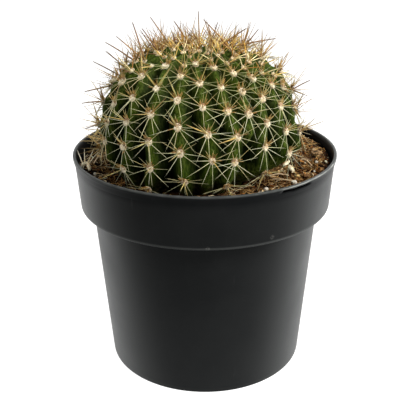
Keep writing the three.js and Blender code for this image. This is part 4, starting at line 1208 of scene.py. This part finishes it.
    # the longest spines of the outline, each from the areole that lies in its line
    for bx, bz, tx, tz in OUTLINE:
        tip = np.array([tx, STEM_Y, tz])
        d2 = unit([bx - tx, bz - tz])
        best = None
        for a, (p, side, up, out) in zip(AREOLES, frames):
            rel = np.array([p[0] - tx, p[2] - tz])
            t = rel @ d2
            off = abs(rel[0] * d2[1] - rel[1] * d2[0])
            if t < 7 or t > 30 or abs(p[1] - STEM_Y) > 26:
                continue
            cost = off * 2.0 + abs(t - 17) * 0.25 + abs(p[1] - STEM_Y) * 0.08 + max(0.0, -(out @ unit(tip - p)) + 0.3) * 12
            if best is None or cost < best[0]:
                best = (cost, p + out * 0.3)
        if best is None:
            continue
        start = best[1]
        t = np.array([0, 0.15, 0.30, 0.45, 0.60, 0.73, 0.85, 0.95, 1.0])[:, None]
        bow = np.array([0, 0, 0.5]) + (rng.random(3) - 0.5) * 0.6
        line = start * (1 - t) + tip * t + bow * t * (1 - t) * 2
        foot = lerp3(AMBER, RUST, rng.random())
        tone = lerp3(AMBER, RUST, 0.9 * rng.random())
        far = lerp3(UMBER, ASH, 0.6 * rng.random())
        add(line, (0.44 + 0.08 * rng.random()) * np.array([1.15, 1.0, 0.97, 0.93, 0.87, 0.79, 0.70, 0.58, 0.0]), 6, 0.8, lambda x: lerp3(lerp3(foot, tone, smooth01(x / 0.3)), far, 0.85 * smooth01((x - 0.45) / 0.4)))
    spines = b.build("spines", SPINE_MAT, ["cactus_spines"])
    felt = wool.build("areole_felt", WOOL_MAT, ["cactus_spines"])
    return spines, felt


# ---------------------------------------------------------------- the potting mix
def soil_level(x, y):
    az = np.arctan2(x, -y) / RAD
    rise = 1.9 * smooth01((np.hypot(x, y) - 62) / 8) * smooth01((az - 38) / 25) * smooth01((165 - az) / 30)
    return SOIL_Z + rise + 0.45 * np.sin(0.19 * x + 0.7) * np.cos(0.16 * y - 0.4) + 0.25 * np.sin(0.41 * x - 0.33 * y)


def rough_level(x, y):
    """The mix's own lumpy surface: particles a millimetre or two across with low gaps between them; the mix's tints
    paint those gaps dark, partly as peat and partly as painted shade.
    """
    p = np.stack([x, y, 0 * x], -1)
    d1, i1 = cells(p / 2.3, 21)
    d2, i2 = cells(p / 1.1 + 40, 33)
    big = fbm(p / 7.0, 3, 11) - 0.5
    z = soil_level(x, y) - 0.5 + 1.5 * big
    z = z + (0.75 * (i1 - 0.35) * np.exp(-((d1 / 0.55) ** 2))) + 0.30 * (i2 - 0.4) * np.exp(-((d2 / 0.5) ** 2))
    return z, i1, i2, d1


def make_mix():
    gv, gt, gq, _ = stem_mesh(0.45, False)
    polys = [tuple(int(i) for i in f) for f in np.asarray(gt)] + [tuple(int(i) for i in f) for f in np.asarray(gq)]
    tree = BVHTree.FromPolygons([tuple(p) for p in gv], polys)
    seg = 420
    radii = np.r_[np.arange(1.2, 40, 2.0), np.arange(40.2, 73.0, 0.6), [73.2, 73.5]]
    a = np.arange(seg) / seg * 2 * math.pi
    R, A = np.meshgrid(radii, a, indexing="ij")
    X, Y = R * np.sin(A), -R * np.cos(A)
    Z, i1, i2, d1 = rough_level(X, Y)
    # a narrow gap along the wall
    Z = Z - 1.6 * smooth01((R - 72.3) / 1.0)
    flat = Z.copy().ravel()
    xs, ys = X.ravel(), Y.ravel()
    inside = np.zeros(len(xs), bool)
    for k in range(len(xs)):
        dx, dy = xs[k] - STEM_X, ys[k] - STEM_Y
        if dx * dx + dy * dy > 60**2:
            continue
        hit = tree.ray_cast(Vector((xs[k], ys[k], 70.0)), Vector((0, 0, 1.0)))
        if hit[0] is not None and hit[0].z - 0.1 < flat[k]:
            flat[k] = hit[0].z - 0.1
            inside[k] = True
    Z = flat.reshape(Z.shape)
    v = np.stack([X, Y, Z], -1).reshape(-1, 3)
    n = len(radii)
    k = np.arange(n - 1)[:, None] * seg
    c = np.arange(seg)[None, :]
    c2 = (c + 1) % seg
    quads = [np.stack([k + c, k + seg + c, k + seg + c2, k + c2], -1).reshape(-1, 4)]
    # the side against the wall, and the bottom
    side = [(BAND_LOW_R - WALL - 0.5, BAND_LOW_Z + 3), (BAND_LOW_R - WALL - 1.4, BAND_LOW_Z + 2.0), (BODY_TOP_R - WALL + 0.1, BAND_LOW_Z + 1.6), (BODY_TOP_R - WALL - 0.45, BAND_LOW_Z + 0.2), (body_r(8) - WALL - 0.4, 8.1), (body_r(4) - WALL - 2.6, FLOOR_TOP + 0.3)]
    for r, z in side:
        v = np.vstack([v, np.c_[r * np.sin(a), -r * np.cos(a), np.full(seg, z)]])
    for j in range(len(side)):
        k0 = (n - 1 + j) * seg
        cc = np.arange(seg)
        cc2 = (cc + 1) % seg
        quads.append(np.c_[k0 + cc, k0 + seg + cc, k0 + seg + cc2, k0 + cc2])
    total = len(v)
    v = np.vstack([v, [[0, 0, float(Z[0].mean())]], [[0, 0, FLOOR_TOP + 0.3]]])
    cc = np.arange(seg)
    cc2 = (cc + 1) % seg
    kl = (n - 1 + len(side)) * seg
    tris = np.vstack([np.c_[cc, cc2, np.full(seg, total)], np.c_[kl + cc2, kl + cc, np.full(seg, total + 1)]])
    # tints: brown and reddish particles, with the gaps between them painted dark, partly dark peat and partly painted
    # shade
    dark, brown, red, tan = (np.array(q) for q in ((0.010, 0.005, 0.002), (0.090, 0.043, 0.017), (0.130, 0.054, 0.019), (0.36, 0.21, 0.09)))
    pick = i1[..., None]
    c = np.where(pick < 0.45, brown, np.where(pick < 0.75, red, np.where(pick < 0.9, dark * 1.6, tan)))
    # painted shade, with dark peat, in the gaps
    gap = smooth01((d1 - 0.30) / 0.30)[..., None]
    c = c * (1 - gap) + dark * gap
    # painted shade along the wall, under the rim
    wall = smooth01((R - 70) / 2.0)[..., None]
    c = c * (1 - wall) + dark * 0.5 * wall
    # painted shade: the mix is darker on the left, away from the key light
    c = c * (1 - 0.8 * smooth01((-X - 34) / 8)[..., None] * smooth01((30 - Y) / 10)[..., None])
    # painted light: the mix is lighter on the right, towards the key light
    c = c * (1 + 0.35 * smooth01((X - 42) / 8)[..., None])
    c = c.reshape(-1, 3)
    c = np.vstack([c, np.tile(brown * 0.7, (len(v) - len(c), 1))])
    b = Batch()
    b.add(v, tris, np.vstack(quads), c)
    mixture = b.build("mix", MIX_MAT, ["potting_mix"])

    def free(x, y, z, room):
        """Clear of the plant and the wall."""
        if math.hypot(x, y) > 73.2 - room:
            return False
        cx, cy = STEM_X + LEAN_X * (z - Z_EQ), STEM_Y + LEAN_Y * (z - Z_EQ)
        az = math.atan2(x - cx, -(y - cy)) / RAD
        return math.hypot(x - cx, y - cy) > float(crest_r(az, z)) + room

    rng = np.random.default_rng(7)
    # crumbs of bark, peat and coir
    b = Batch()
    made = 0
    tones = [((0.004, 0.001, 0.0005), 0.36), ((0.065, 0.020, 0.005), 0.18), ((0.19, 0.068, 0.017), 0.17), ((0.40, 0.175, 0.055), 0.13), ((0.74, 0.44, 0.19), 0.10), ((0.97, 0.80, 0.52), 0.06)]
    cum = np.cumsum([w for _, w in tones])
    tries = 0
    while made < 4200 and tries < 26000:
        tries += 1
        r = 73.0 * math.sqrt(rng.random())
        th = rng.random() * 2 * math.pi
        x, y = r * math.sin(th), -r * math.cos(th)
        big = made < 620
        size = (0.9 + 1.1 * rng.random() ** 1.6) if big else (0.36 + 0.60 * rng.random() ** 1.5)
        level = float(soil_level(x, y))
        if not free(x, y, level + size, size * 1.1):
            continue
        stretch = np.array([1.0 + 1.0 * rng.random(), 0.62 + 0.3 * rng.random(), 0.35 + 0.3 * rng.random()])
        vv, ff = ICO[1] if big else ICO[0]
        j = 0.7 + 0.6 * rng.random(len(vv))
        w = vv * j[:, None] * stretch * size * 0.62
        w = w @ turn(rng, 0.30 if big else 0.6).T
        z0 = float(rough_level(np.array([x]), np.array([y]))[0][0])
        w = w + np.array([x, y, z0 + 0.18 * size])
        if w[:, 2].max() > SOIL_Z + 4.4:
            continue
        tone = np.array(tones[int(np.searchsorted(cum, rng.random() * cum[-1]))][0])
        # painted shade on the left, where half the crumbs go near black and the rest lighter; painted light on the
        # right, where they are made lighter
        if x < -34 and y < 30:
            tone = np.array(tones[0][0]) if rng.random() < 0.50 else np.clip(tone * 1.45, 0, 0.98)
        elif x > 44:
            tone = np.clip(tone * np.array([1.50, 1.54, 1.42]), 0, 0.98)
        b.add(w, ff, None, np.tile(tone * (0.75 + 0.5 * rng.random()), (len(w), 1)))
        made += 1
    crumbs = b.build("mix_crumbs", CRUMB_MAT, ["potting_mix"], smooth=False)
    # fibres: coir, root hairs and shreds of straw
    b = Batch()
    made = tries = 0
    while made < 1300 and tries < 22000:
        tries += 1
        r = 70.5 * math.sqrt(rng.random())
        th = rng.random() * 2 * math.pi
        x, y = r * math.sin(th), -r * math.cos(th)
        length = 3.0 + 8.5 * rng.random() ** 1.5
        az = rng.random() * 2 * math.pi
        d = np.array([math.cos(az), math.sin(az)])
        n = 7
        bendy = (rng.random() - 0.5) * 0.9
        pts = []
        ok = True
        for k in range(n):
            t = k / (n - 1) - 0.5
            q = np.array([x, y]) + d * length * t + np.array([-d[1], d[0]]) * bendy * length * (t * t * 1.6 - 0.2)
            arch = 0.45 + (0.4 + 0.9 * made / 1300) * (1 - (2 * t) ** 2) * (0.25 + 0.45 * rng.random())
            zz = float(rough_level(q[:1], q[1:])[0][0])
            zz = max(zz, float(soil_level(*q)) - 0.4) + arch
            if not free(q[0], q[1], zz, 0.8):
                ok = False
                break
            pts.append([q[0], q[1], zz])
        if not ok:
            continue
        thick = 0.10 + 0.18 * rng.random() ** 2
        v, t, q, w = tube(pts, thick * np.array([0.7, 1, 1, 1, 1, 0.9, 0.5]), 4, 0.8, False)
        tone = lerp3((0.20, 0.085, 0.022), (0.66, 0.41, 0.155), rng.random() ** 1.1)
        if rng.random() < (0.30 if x < -34 else 0.12):
            tone = np.array((0.86, 0.70, 0.44))
        b.add(v, t, q, np.tile(tone, (len(v), 1)))
        made += 1
    fibres = b.build("mix_fibres", CRUMB_MAT, ["potting_mix"])
    return mixture, crumbs, fibres


# ---------------------------------------------------------------- loose pieces, each where its node lies
def middle(name):
    lo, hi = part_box(name)
    lo, hi = np.array(lo) / MM, np.array(hi) / MM
    return (lo + hi) / 2, (hi - lo) / 2


def loose(name, make, material, smooth=True, sharp=None, fill=True, sink=0.0, size=1.0):
    c, h = middle(name)
    v, t, q, col = make(c, h)
    v = np.asarray(v, float)
    # it keeps the node's own box
    lo, hi = v.min(0), v.max(0)
    k = size * h / np.maximum((hi - lo) / 2, 1e-6)
    if not fill:
        k = np.minimum(k, 1.0)
    v = (v - (lo + hi) / 2) * k + c + np.array([0, 0, sink])
    b = Batch()
    b.add(v, t, q, col)
    return b.build(name.replace("_grain", "").replace("fallen_", "dropped_") + "_detail", material, [name], smooth, sharp)


def make_perlite(seed):
    def make(c, h):
        vv, ff = ICO[3]
        k = fbm(vv * 1.7 + seed * 9.1, 3, seed)
        d, _ = cells(np.stack([np.arctan2(vv[:, 1], vv[:, 0]) * 2.2, vv[:, 2] * 3.0, 0 * vv[:, 0]], -1), seed)
        r = 0.78 + 0.42 * k - 0.13 * np.exp(-((d / 0.30) ** 2)) + 0.10 * (vnoise(vv * 6, seed) - 0.5)
        return vv * r[:, None], ff, None, np.zeros(4)

    return make


def make_chip(seed, angle, length, width, thick, ragged=0.0):
    """A split sliver: long fibres, one end pointed and one torn, lying at angle."""

    def make(c, h):
        rng = np.random.default_rng(seed)
        nl, nw = 28, 9
        u = np.linspace(-1, 1, nl)
        out = np.interp(u, [-1, -0.8, -0.3, 0.4, 0.85, 1], [0.45, 0.85, 1.0, 0.9, 0.6, 0.25])
        if ragged:
            out = np.interp(u, [-1, -0.7, -0.2, 0.3, 0.75, 1], [0.72, 0.92, 0.78, 1.0, 0.82, 0.55])
            out = out * (1 + ragged * (rng.random(nl) - 0.5))
        v = []
        for face in (1, -1):
            for i in range(nl):
                for j in range(nw):
                    s = (j / (nw - 1)) * 2 - 1
                    fray = 0.14 * (hash01(np.int64(j), np.int64(0), np.int64(0), seed + (0 if u[i] < 0 else 5)) - 0.5)
                    x = (u[i] * (1 + fray * abs(u[i]) ** 6)) * length / 2
                    y = s * out[i] * width / 2
                    edge = 1 - abs(s) ** 4 * 0.8
                    grain = 0.10 * math.sin(j * 2.1 + seed) + 0.08 * math.sin(i * 0.7 + j)
                    if ragged:
                        grain += ragged * (hash01(np.int64(i // 2), np.int64(j), np.int64(face + 1), seed) - 0.5) * 1.6
                    z = face * thick / 2 * (edge + grain) + 0.25 * thick * math.sin(u[i] * 1.8 + seed)
                    v.append([x, y, z])
        v = np.array(v)
        ca, sa = math.cos(angle * RAD), math.sin(angle * RAD)
        v[:, 0], v[:, 1] = v[:, 0] * ca - v[:, 1] * sa, v[:, 0] * sa + v[:, 1] * ca
        quads = []
        m = nl * nw
        for i in range(nl - 1):
            for j in range(nw - 1):
                a = i * nw + j
                quads.append([a, a + nw, a + nw + 1, a + 1])
                quads.append([m + a, m + a + 1, m + a + nw + 1, m + a + nw])
        rim = [j for j in range(nw)] + [i * nw + nw - 1 for i in range(1, nl)] + [(nl - 1) * nw + j for j in range(nw - 2, -1, -1)] + [i * nw for i in range(nl - 2, 0, -1)]
        for a, b2 in zip(rim, rim[1:] + rim[:1]):
            quads.append([a, b2, m + b2, m + a])
        return v, None, np.array(quads), np.zeros(4)

    return make


def make_strand(points, radius, flat=1.0, knots=0.12, seed=1, sides=10):
    def make(c, h):
        pts = np.array(points, float)
        # a smooth line through the points
        t = np.linspace(0, len(pts) - 1, 26)
        line = np.stack([np.interp(t, np.arange(len(pts)), pts[:, k]) for k in range(3)], -1)
        for _ in range(6):
            line[1:-1] = (line[:-2] + line[1:-1] * 2 + line[2:]) / 4
        rr = radius * (1 + knots * (vnoise(np.c_[t * 3, 0 * t, 0 * t], seed) * 2 - 1))
        rr[0] *= 0.75
        rr[-1] *= 0.6
        v, tr, q, w = tube(line, rr, sides, flat, False)
        return v, tr, q, np.zeros(4)

    return make


def make_knot(c, h):
    """A round bark knot with a hollow in its middle, painted near black as shade."""
    vv, ff = ICO[4]
    r = 0.74 + 0.36 * fbm(vv * 3.0, 3, 5) + 0.24 * (vnoise(vv * np.array([7, 7, 4.0]), 6) - 0.5)
    v = vv * r[:, None] * np.array([3.4, 3.2, 1.3])
    off = np.hypot((v[:, 0] + 0.7) / 1.35, (v[:, 1] - 0.1) / 1.5)
    hole = np.exp(-(off**4)) * (v[:, 2] > 0)
    v[:, 2] -= 1.25 * hole
    # painted shade: the hollow is painted near black
    dark = np.clip(hole * 1.3, 0, 1)
    col = np.c_[np.tile([0.006, 0.004, 0.003], (len(v), 1)), dark]
    return v, ff, None, col


def make_loose():
    for k in range(8):
        loose(f"perlite_grain_{k + 1}", make_perlite(k + 3), PERLITE_MAT, sink=1.5 if k == 0 else 0.0, size=0.82)
    loose("wood_chip_1", make_chip(3, 92, 11.9, 2.7, 1.35), WOOD_MAT, True, 50, False)
    loose("wood_chip_2", make_chip(5, 60, 7.8, 2.3, 1.2), WOOD_MAT, True, 50, False)
    for k, (ln, wd, th, an) in enumerate([(8.0, 4.6, 1.5, 20), (10.0, 5.5, 1.7, 130), (9.0, 5.0, 1.6, 15), (7.5, 4.4, 1.5, 75)]):
        loose(f"bark_flake_{k + 1}", make_chip(11 + k, an, ln * 0.9, wd * 0.8, th, 0.45), BARK_MAT, True, 24, False, -0.7)
    loose("bark_knot", make_knot, KNOT_MAT)
    strands = [
        [(35.6, -34.2, 0.3), (40.5, -33.6, 0.9), (46.0, -34.4, 0.4)],
        [(36.6, -39.6, 0.2), (42.0, -41.8, 0.7), (47.4, -42.6, 0.3)],
        [(54.0, -6.0, 0.2), (58.5, -10.5, 1.2), (61.0, -17.0, 0.2)],
        [(-58.0, 2.0, 0.2), (-63.0, -5.0, 1.0), (-64.0, -12.0, 0.2)],
    ]
    for k, pts in enumerate(strands):
        loose(f"straw_{k + 1}", make_strand(pts, 0.42, 0.6, 0.15, k + 2), STRAW_MAT)
    loose("fallen_twig", make_strand([(52.4, -2.5, 0.4), (52.3, -9.0, 0.9), (51.8, -15.5, 0.3)], 0.8, 0.95, 0.3, 9, 14), BARK_MAT)


def make_dropped_cluster():
    """A dead areole with its spines, dropped beside the rim: an arch of felt, and spines that stand up from it."""
    c, h = middle("fallen_spine_cluster")
    low = float(c[2] - h[2])
    z0 = low - 0.8 + 0.0
    arch = np.array([(-69.3, -22.6, 1.9), (-68.6, -21.2, 4.4), (-66.6, -21.4, 5.0), (-65.2, -23.4, 3.8), (-64.6, -25.2, 1.9)])
    rng = np.random.default_rng(23)
    b = Batch()
    t = np.linspace(0, 4, 30)
    line = np.stack([np.interp(t, np.arange(5), arch[:, k]) for k in range(3)], -1)
    for _ in range(5):
        line[1:-1] = (line[:-2] + 2 * line[1:-1] + line[2:]) / 4
    line[:, 2] += z0
    rr = 0.90 * (1 + 0.25 * (vnoise(np.c_[t * 2.4, 0 * t, 0 * t], 4) * 2 - 1))
    v, tr, q, w = tube(line, rr, 10, 0.9, False)
    # cream felt, pushed near white as painted light against the shade beside the rim
    felt = np.array([lerp3((0.86, 0.58, 0.26), (1.0, 0.95, 0.74), smooth01(x * 1.9)) for x in vnoise(v * 0.9, 2)])
    b.add(v, tr, q, felt)
    # spines that stand up, and short broken ones around
    for (f, g) in [((-68.8, -21.4, 4.2), (-73.2, -11.5, 9.6)), ((-67.6, -21.2, 4.8), (-68.4, -15.0, 11.5)), ((-66.0, -22.0, 4.8), (-62.6, -14.5, 12.0)), ((-65.6, -22.8, 4.3), (-60.5, -17.0, 9.8))]:
        f = np.array(f) + [0, 0, z0]
        g = np.array(g) + [0, 0, z0]
        t = np.linspace(0, 1, 8)[:, None]
        pts = f * (1 - t) + g * t + np.array([0, 0, 0.5]) * (t * (1 - t))
        v, tr, q, w = tube(pts, 0.36 * np.array([1.2, 1, 0.9, 0.8, 0.68, 0.52, 0.3, 0]), 6)
        cc = np.array([lerp3((0.80, 0.60, 0.30), (0.95, 0.90, 0.70), smooth01(x / 0.4)) for x in w])
        b.add(v, tr, q, cc)
    for k in range(26):
        i = int(rng.integers(3, 27))
        th = rng.random() * 2 * math.pi
        d = unit([math.cos(th), math.sin(th), 0.5 + 0.6 * rng.random()])
        ln = 0.9 + 1.6 * rng.random()
        v, tr, q, w = tube(spine_line(line[i], d, ln + 0.8, (rng.random(3) - 0.5) * 0.2, 4), [0.16, 0.13, 0.09, 0.0], 4)
        b.add(v, tr, q, np.tile(lerp3((0.55, 0.34, 0.16), (0.84, 0.76, 0.6), rng.random()), (len(v), 1)))
    o = b.build("dropped_cluster", SPINE_MAT, ["fallen_spine_cluster"])
    return o


# ---------------------------------------------------------------- the stage
def aim(obj, target):
    d = Vector(target) - obj.location
    obj.rotation_euler = d.to_track_quat("-Z", "Y").to_euler()


def stage():
    me = bpy.data.meshes.new("floor")
    s = 7.0
    me.from_pydata([(-s, -s, 0), (s, -s, 0), (s, s, 0), (-s, s, 0)], [], [(0, 1, 2, 3)])
    floor = bpy.data.objects.new("floor", me)
    bpy.context.scene.collection.objects.link(floor)
    m, nt, b = new_material("floor")
    grain = noise(nt, 0.4, 3)
    nt.links.new(ramp(nt, grain, [(0.3, (0.24, 0.24, 0.24)), (0.7, (0.26, 0.26, 0.26))]), b.inputs["Base Color"])
    b.inputs["Roughness"].default_value = 0.9
    b.inputs["Specular IOR Level"].default_value = 0.1
    # the floor glows as a light: its emission is strongest behind and beside the pot, and less in front of it
    b.inputs["Emission Color"].default_value = (1, 1, 1, 1)
    xyz = node(nt, "ShaderNodeSeparateXYZ", {0: place(nt, 1.0)})
    # in front, and beside it on the left
    ahead = smoothed(nt, xyz.outputs[1], -0.20, -0.085)
    beside = smoothed(nt, maths(nt, "ADD", xyz.outputs[0], maths(nt, "MULTIPLY", xyz.outputs[1], 1.1)), -0.34, -0.17)
    nt.links.new(remap(nt, maths(nt, "MULTIPLY", ahead, maths(nt, "MULTIPLY_ADD", beside, 0.75, 0.25)), 0.0, 1.0, 0.14, 1.02), b.inputs["Emission Strength"])
    me.materials.append(m)

    cam_data = bpy.data.cameras.new("camera")
    cam = bpy.data.objects.new("camera", cam_data)
    bpy.context.scene.collection.objects.link(cam)
    cam_data.sensor_width = 36
    cam_data.lens = 755.0 / 416.0 * 36.0
    cam_data.clip_end = 50
    pitch, yaw, roll = 0.4049, 0.0041, -0.0032
    cam.location = (0, -0.4225, 0.2728)
    look = Matrix.Rotation(-yaw, 4, "Z") @ Matrix.Rotation(math.pi / 2 - pitch, 4, "X") @ Matrix.Rotation(roll, 4, "Z")
    cam.matrix_world = Matrix.Translation(cam.location) @ look
    bpy.context.scene.camera = cam

    def area(name, at, target, size, power, colour=(1, 1, 1)):
        d = bpy.data.lights.new(name, "AREA")
        d.shape = "RECTANGLE"
        d.size, d.size_y = size
        d.energy = power
        d.color = colour
        o = bpy.data.objects.new(name, d)
        bpy.context.scene.collection.objects.link(o)
        o.location = at
        aim(o, target)
        return o

    area("key", (0.60, -0.42, 0.80), (0, 0, 0.14), (0.42, 0.42), 13.3, (1.0, 0.985, 0.945))
    area("left", (-0.62, -0.24, 0.62), (-0.05, 0, 0.14), (0.25, 0.25), 2.5, (1.0, 0.975, 0.92)).visible_glossy = False
    area("front", (0.62, -0.78, 0.20), (0, 0, 0.14), (0.6, 0.35), 2.7, (1.0, 0.985, 0.95))
    area("top", (0.05, 0.30, 1.0), (0, 0, 0.14), (0.7, 0.7), 3.6)

    world = bpy.data.worlds.new("studio")
    bpy.context.scene.world = world
    world.use_nodes = True
    nt = world.node_tree
    nt.nodes.clear()
    out = nt.nodes.new("ShaderNodeOutputWorld")
    bg = nt.nodes.new("ShaderNodeBackground")
    nt.links.new(bg.outputs[0], out.inputs[0])
    c = node(nt, "ShaderNodeTexCoord")
    xyz = node(nt, "ShaderNodeSeparateXYZ", {0: c.outputs["Generated"]})
    turned = maths(nt, "ADD", xyz.outputs[1], maths(nt, "MULTIPLY", xyz.outputs[0], 0.45))
    side = node(nt, "ShaderNodeMapRange", {"Value": turned, "From Min": -0.55, "From Max": 0.30, "To Min": 0.05, "To Max": 1.0})
    side.interpolation_type = "SMOOTHSTEP"
    rise = node(nt, "ShaderNodeMapRange", {"Value": xyz.outputs[2], "From Min": 0.05, "From Max": 0.8, "To Min": 1.0, "To Max": 0.22})
    level = maths(nt, "MULTIPLY", side.outputs[0], rise.outputs[0])
    nt.links.new(level, bg.inputs[0])
    bg.inputs[1].default_value = 1.0
    bpy.context.scene.view_settings.view_transform = "Standard"
    bpy.context.scene.view_settings.look = "None"
    return floor


stage()
make_pot()
make_stem()
make_spines()
make_mix()
make_loose()
make_dropped_cluster()
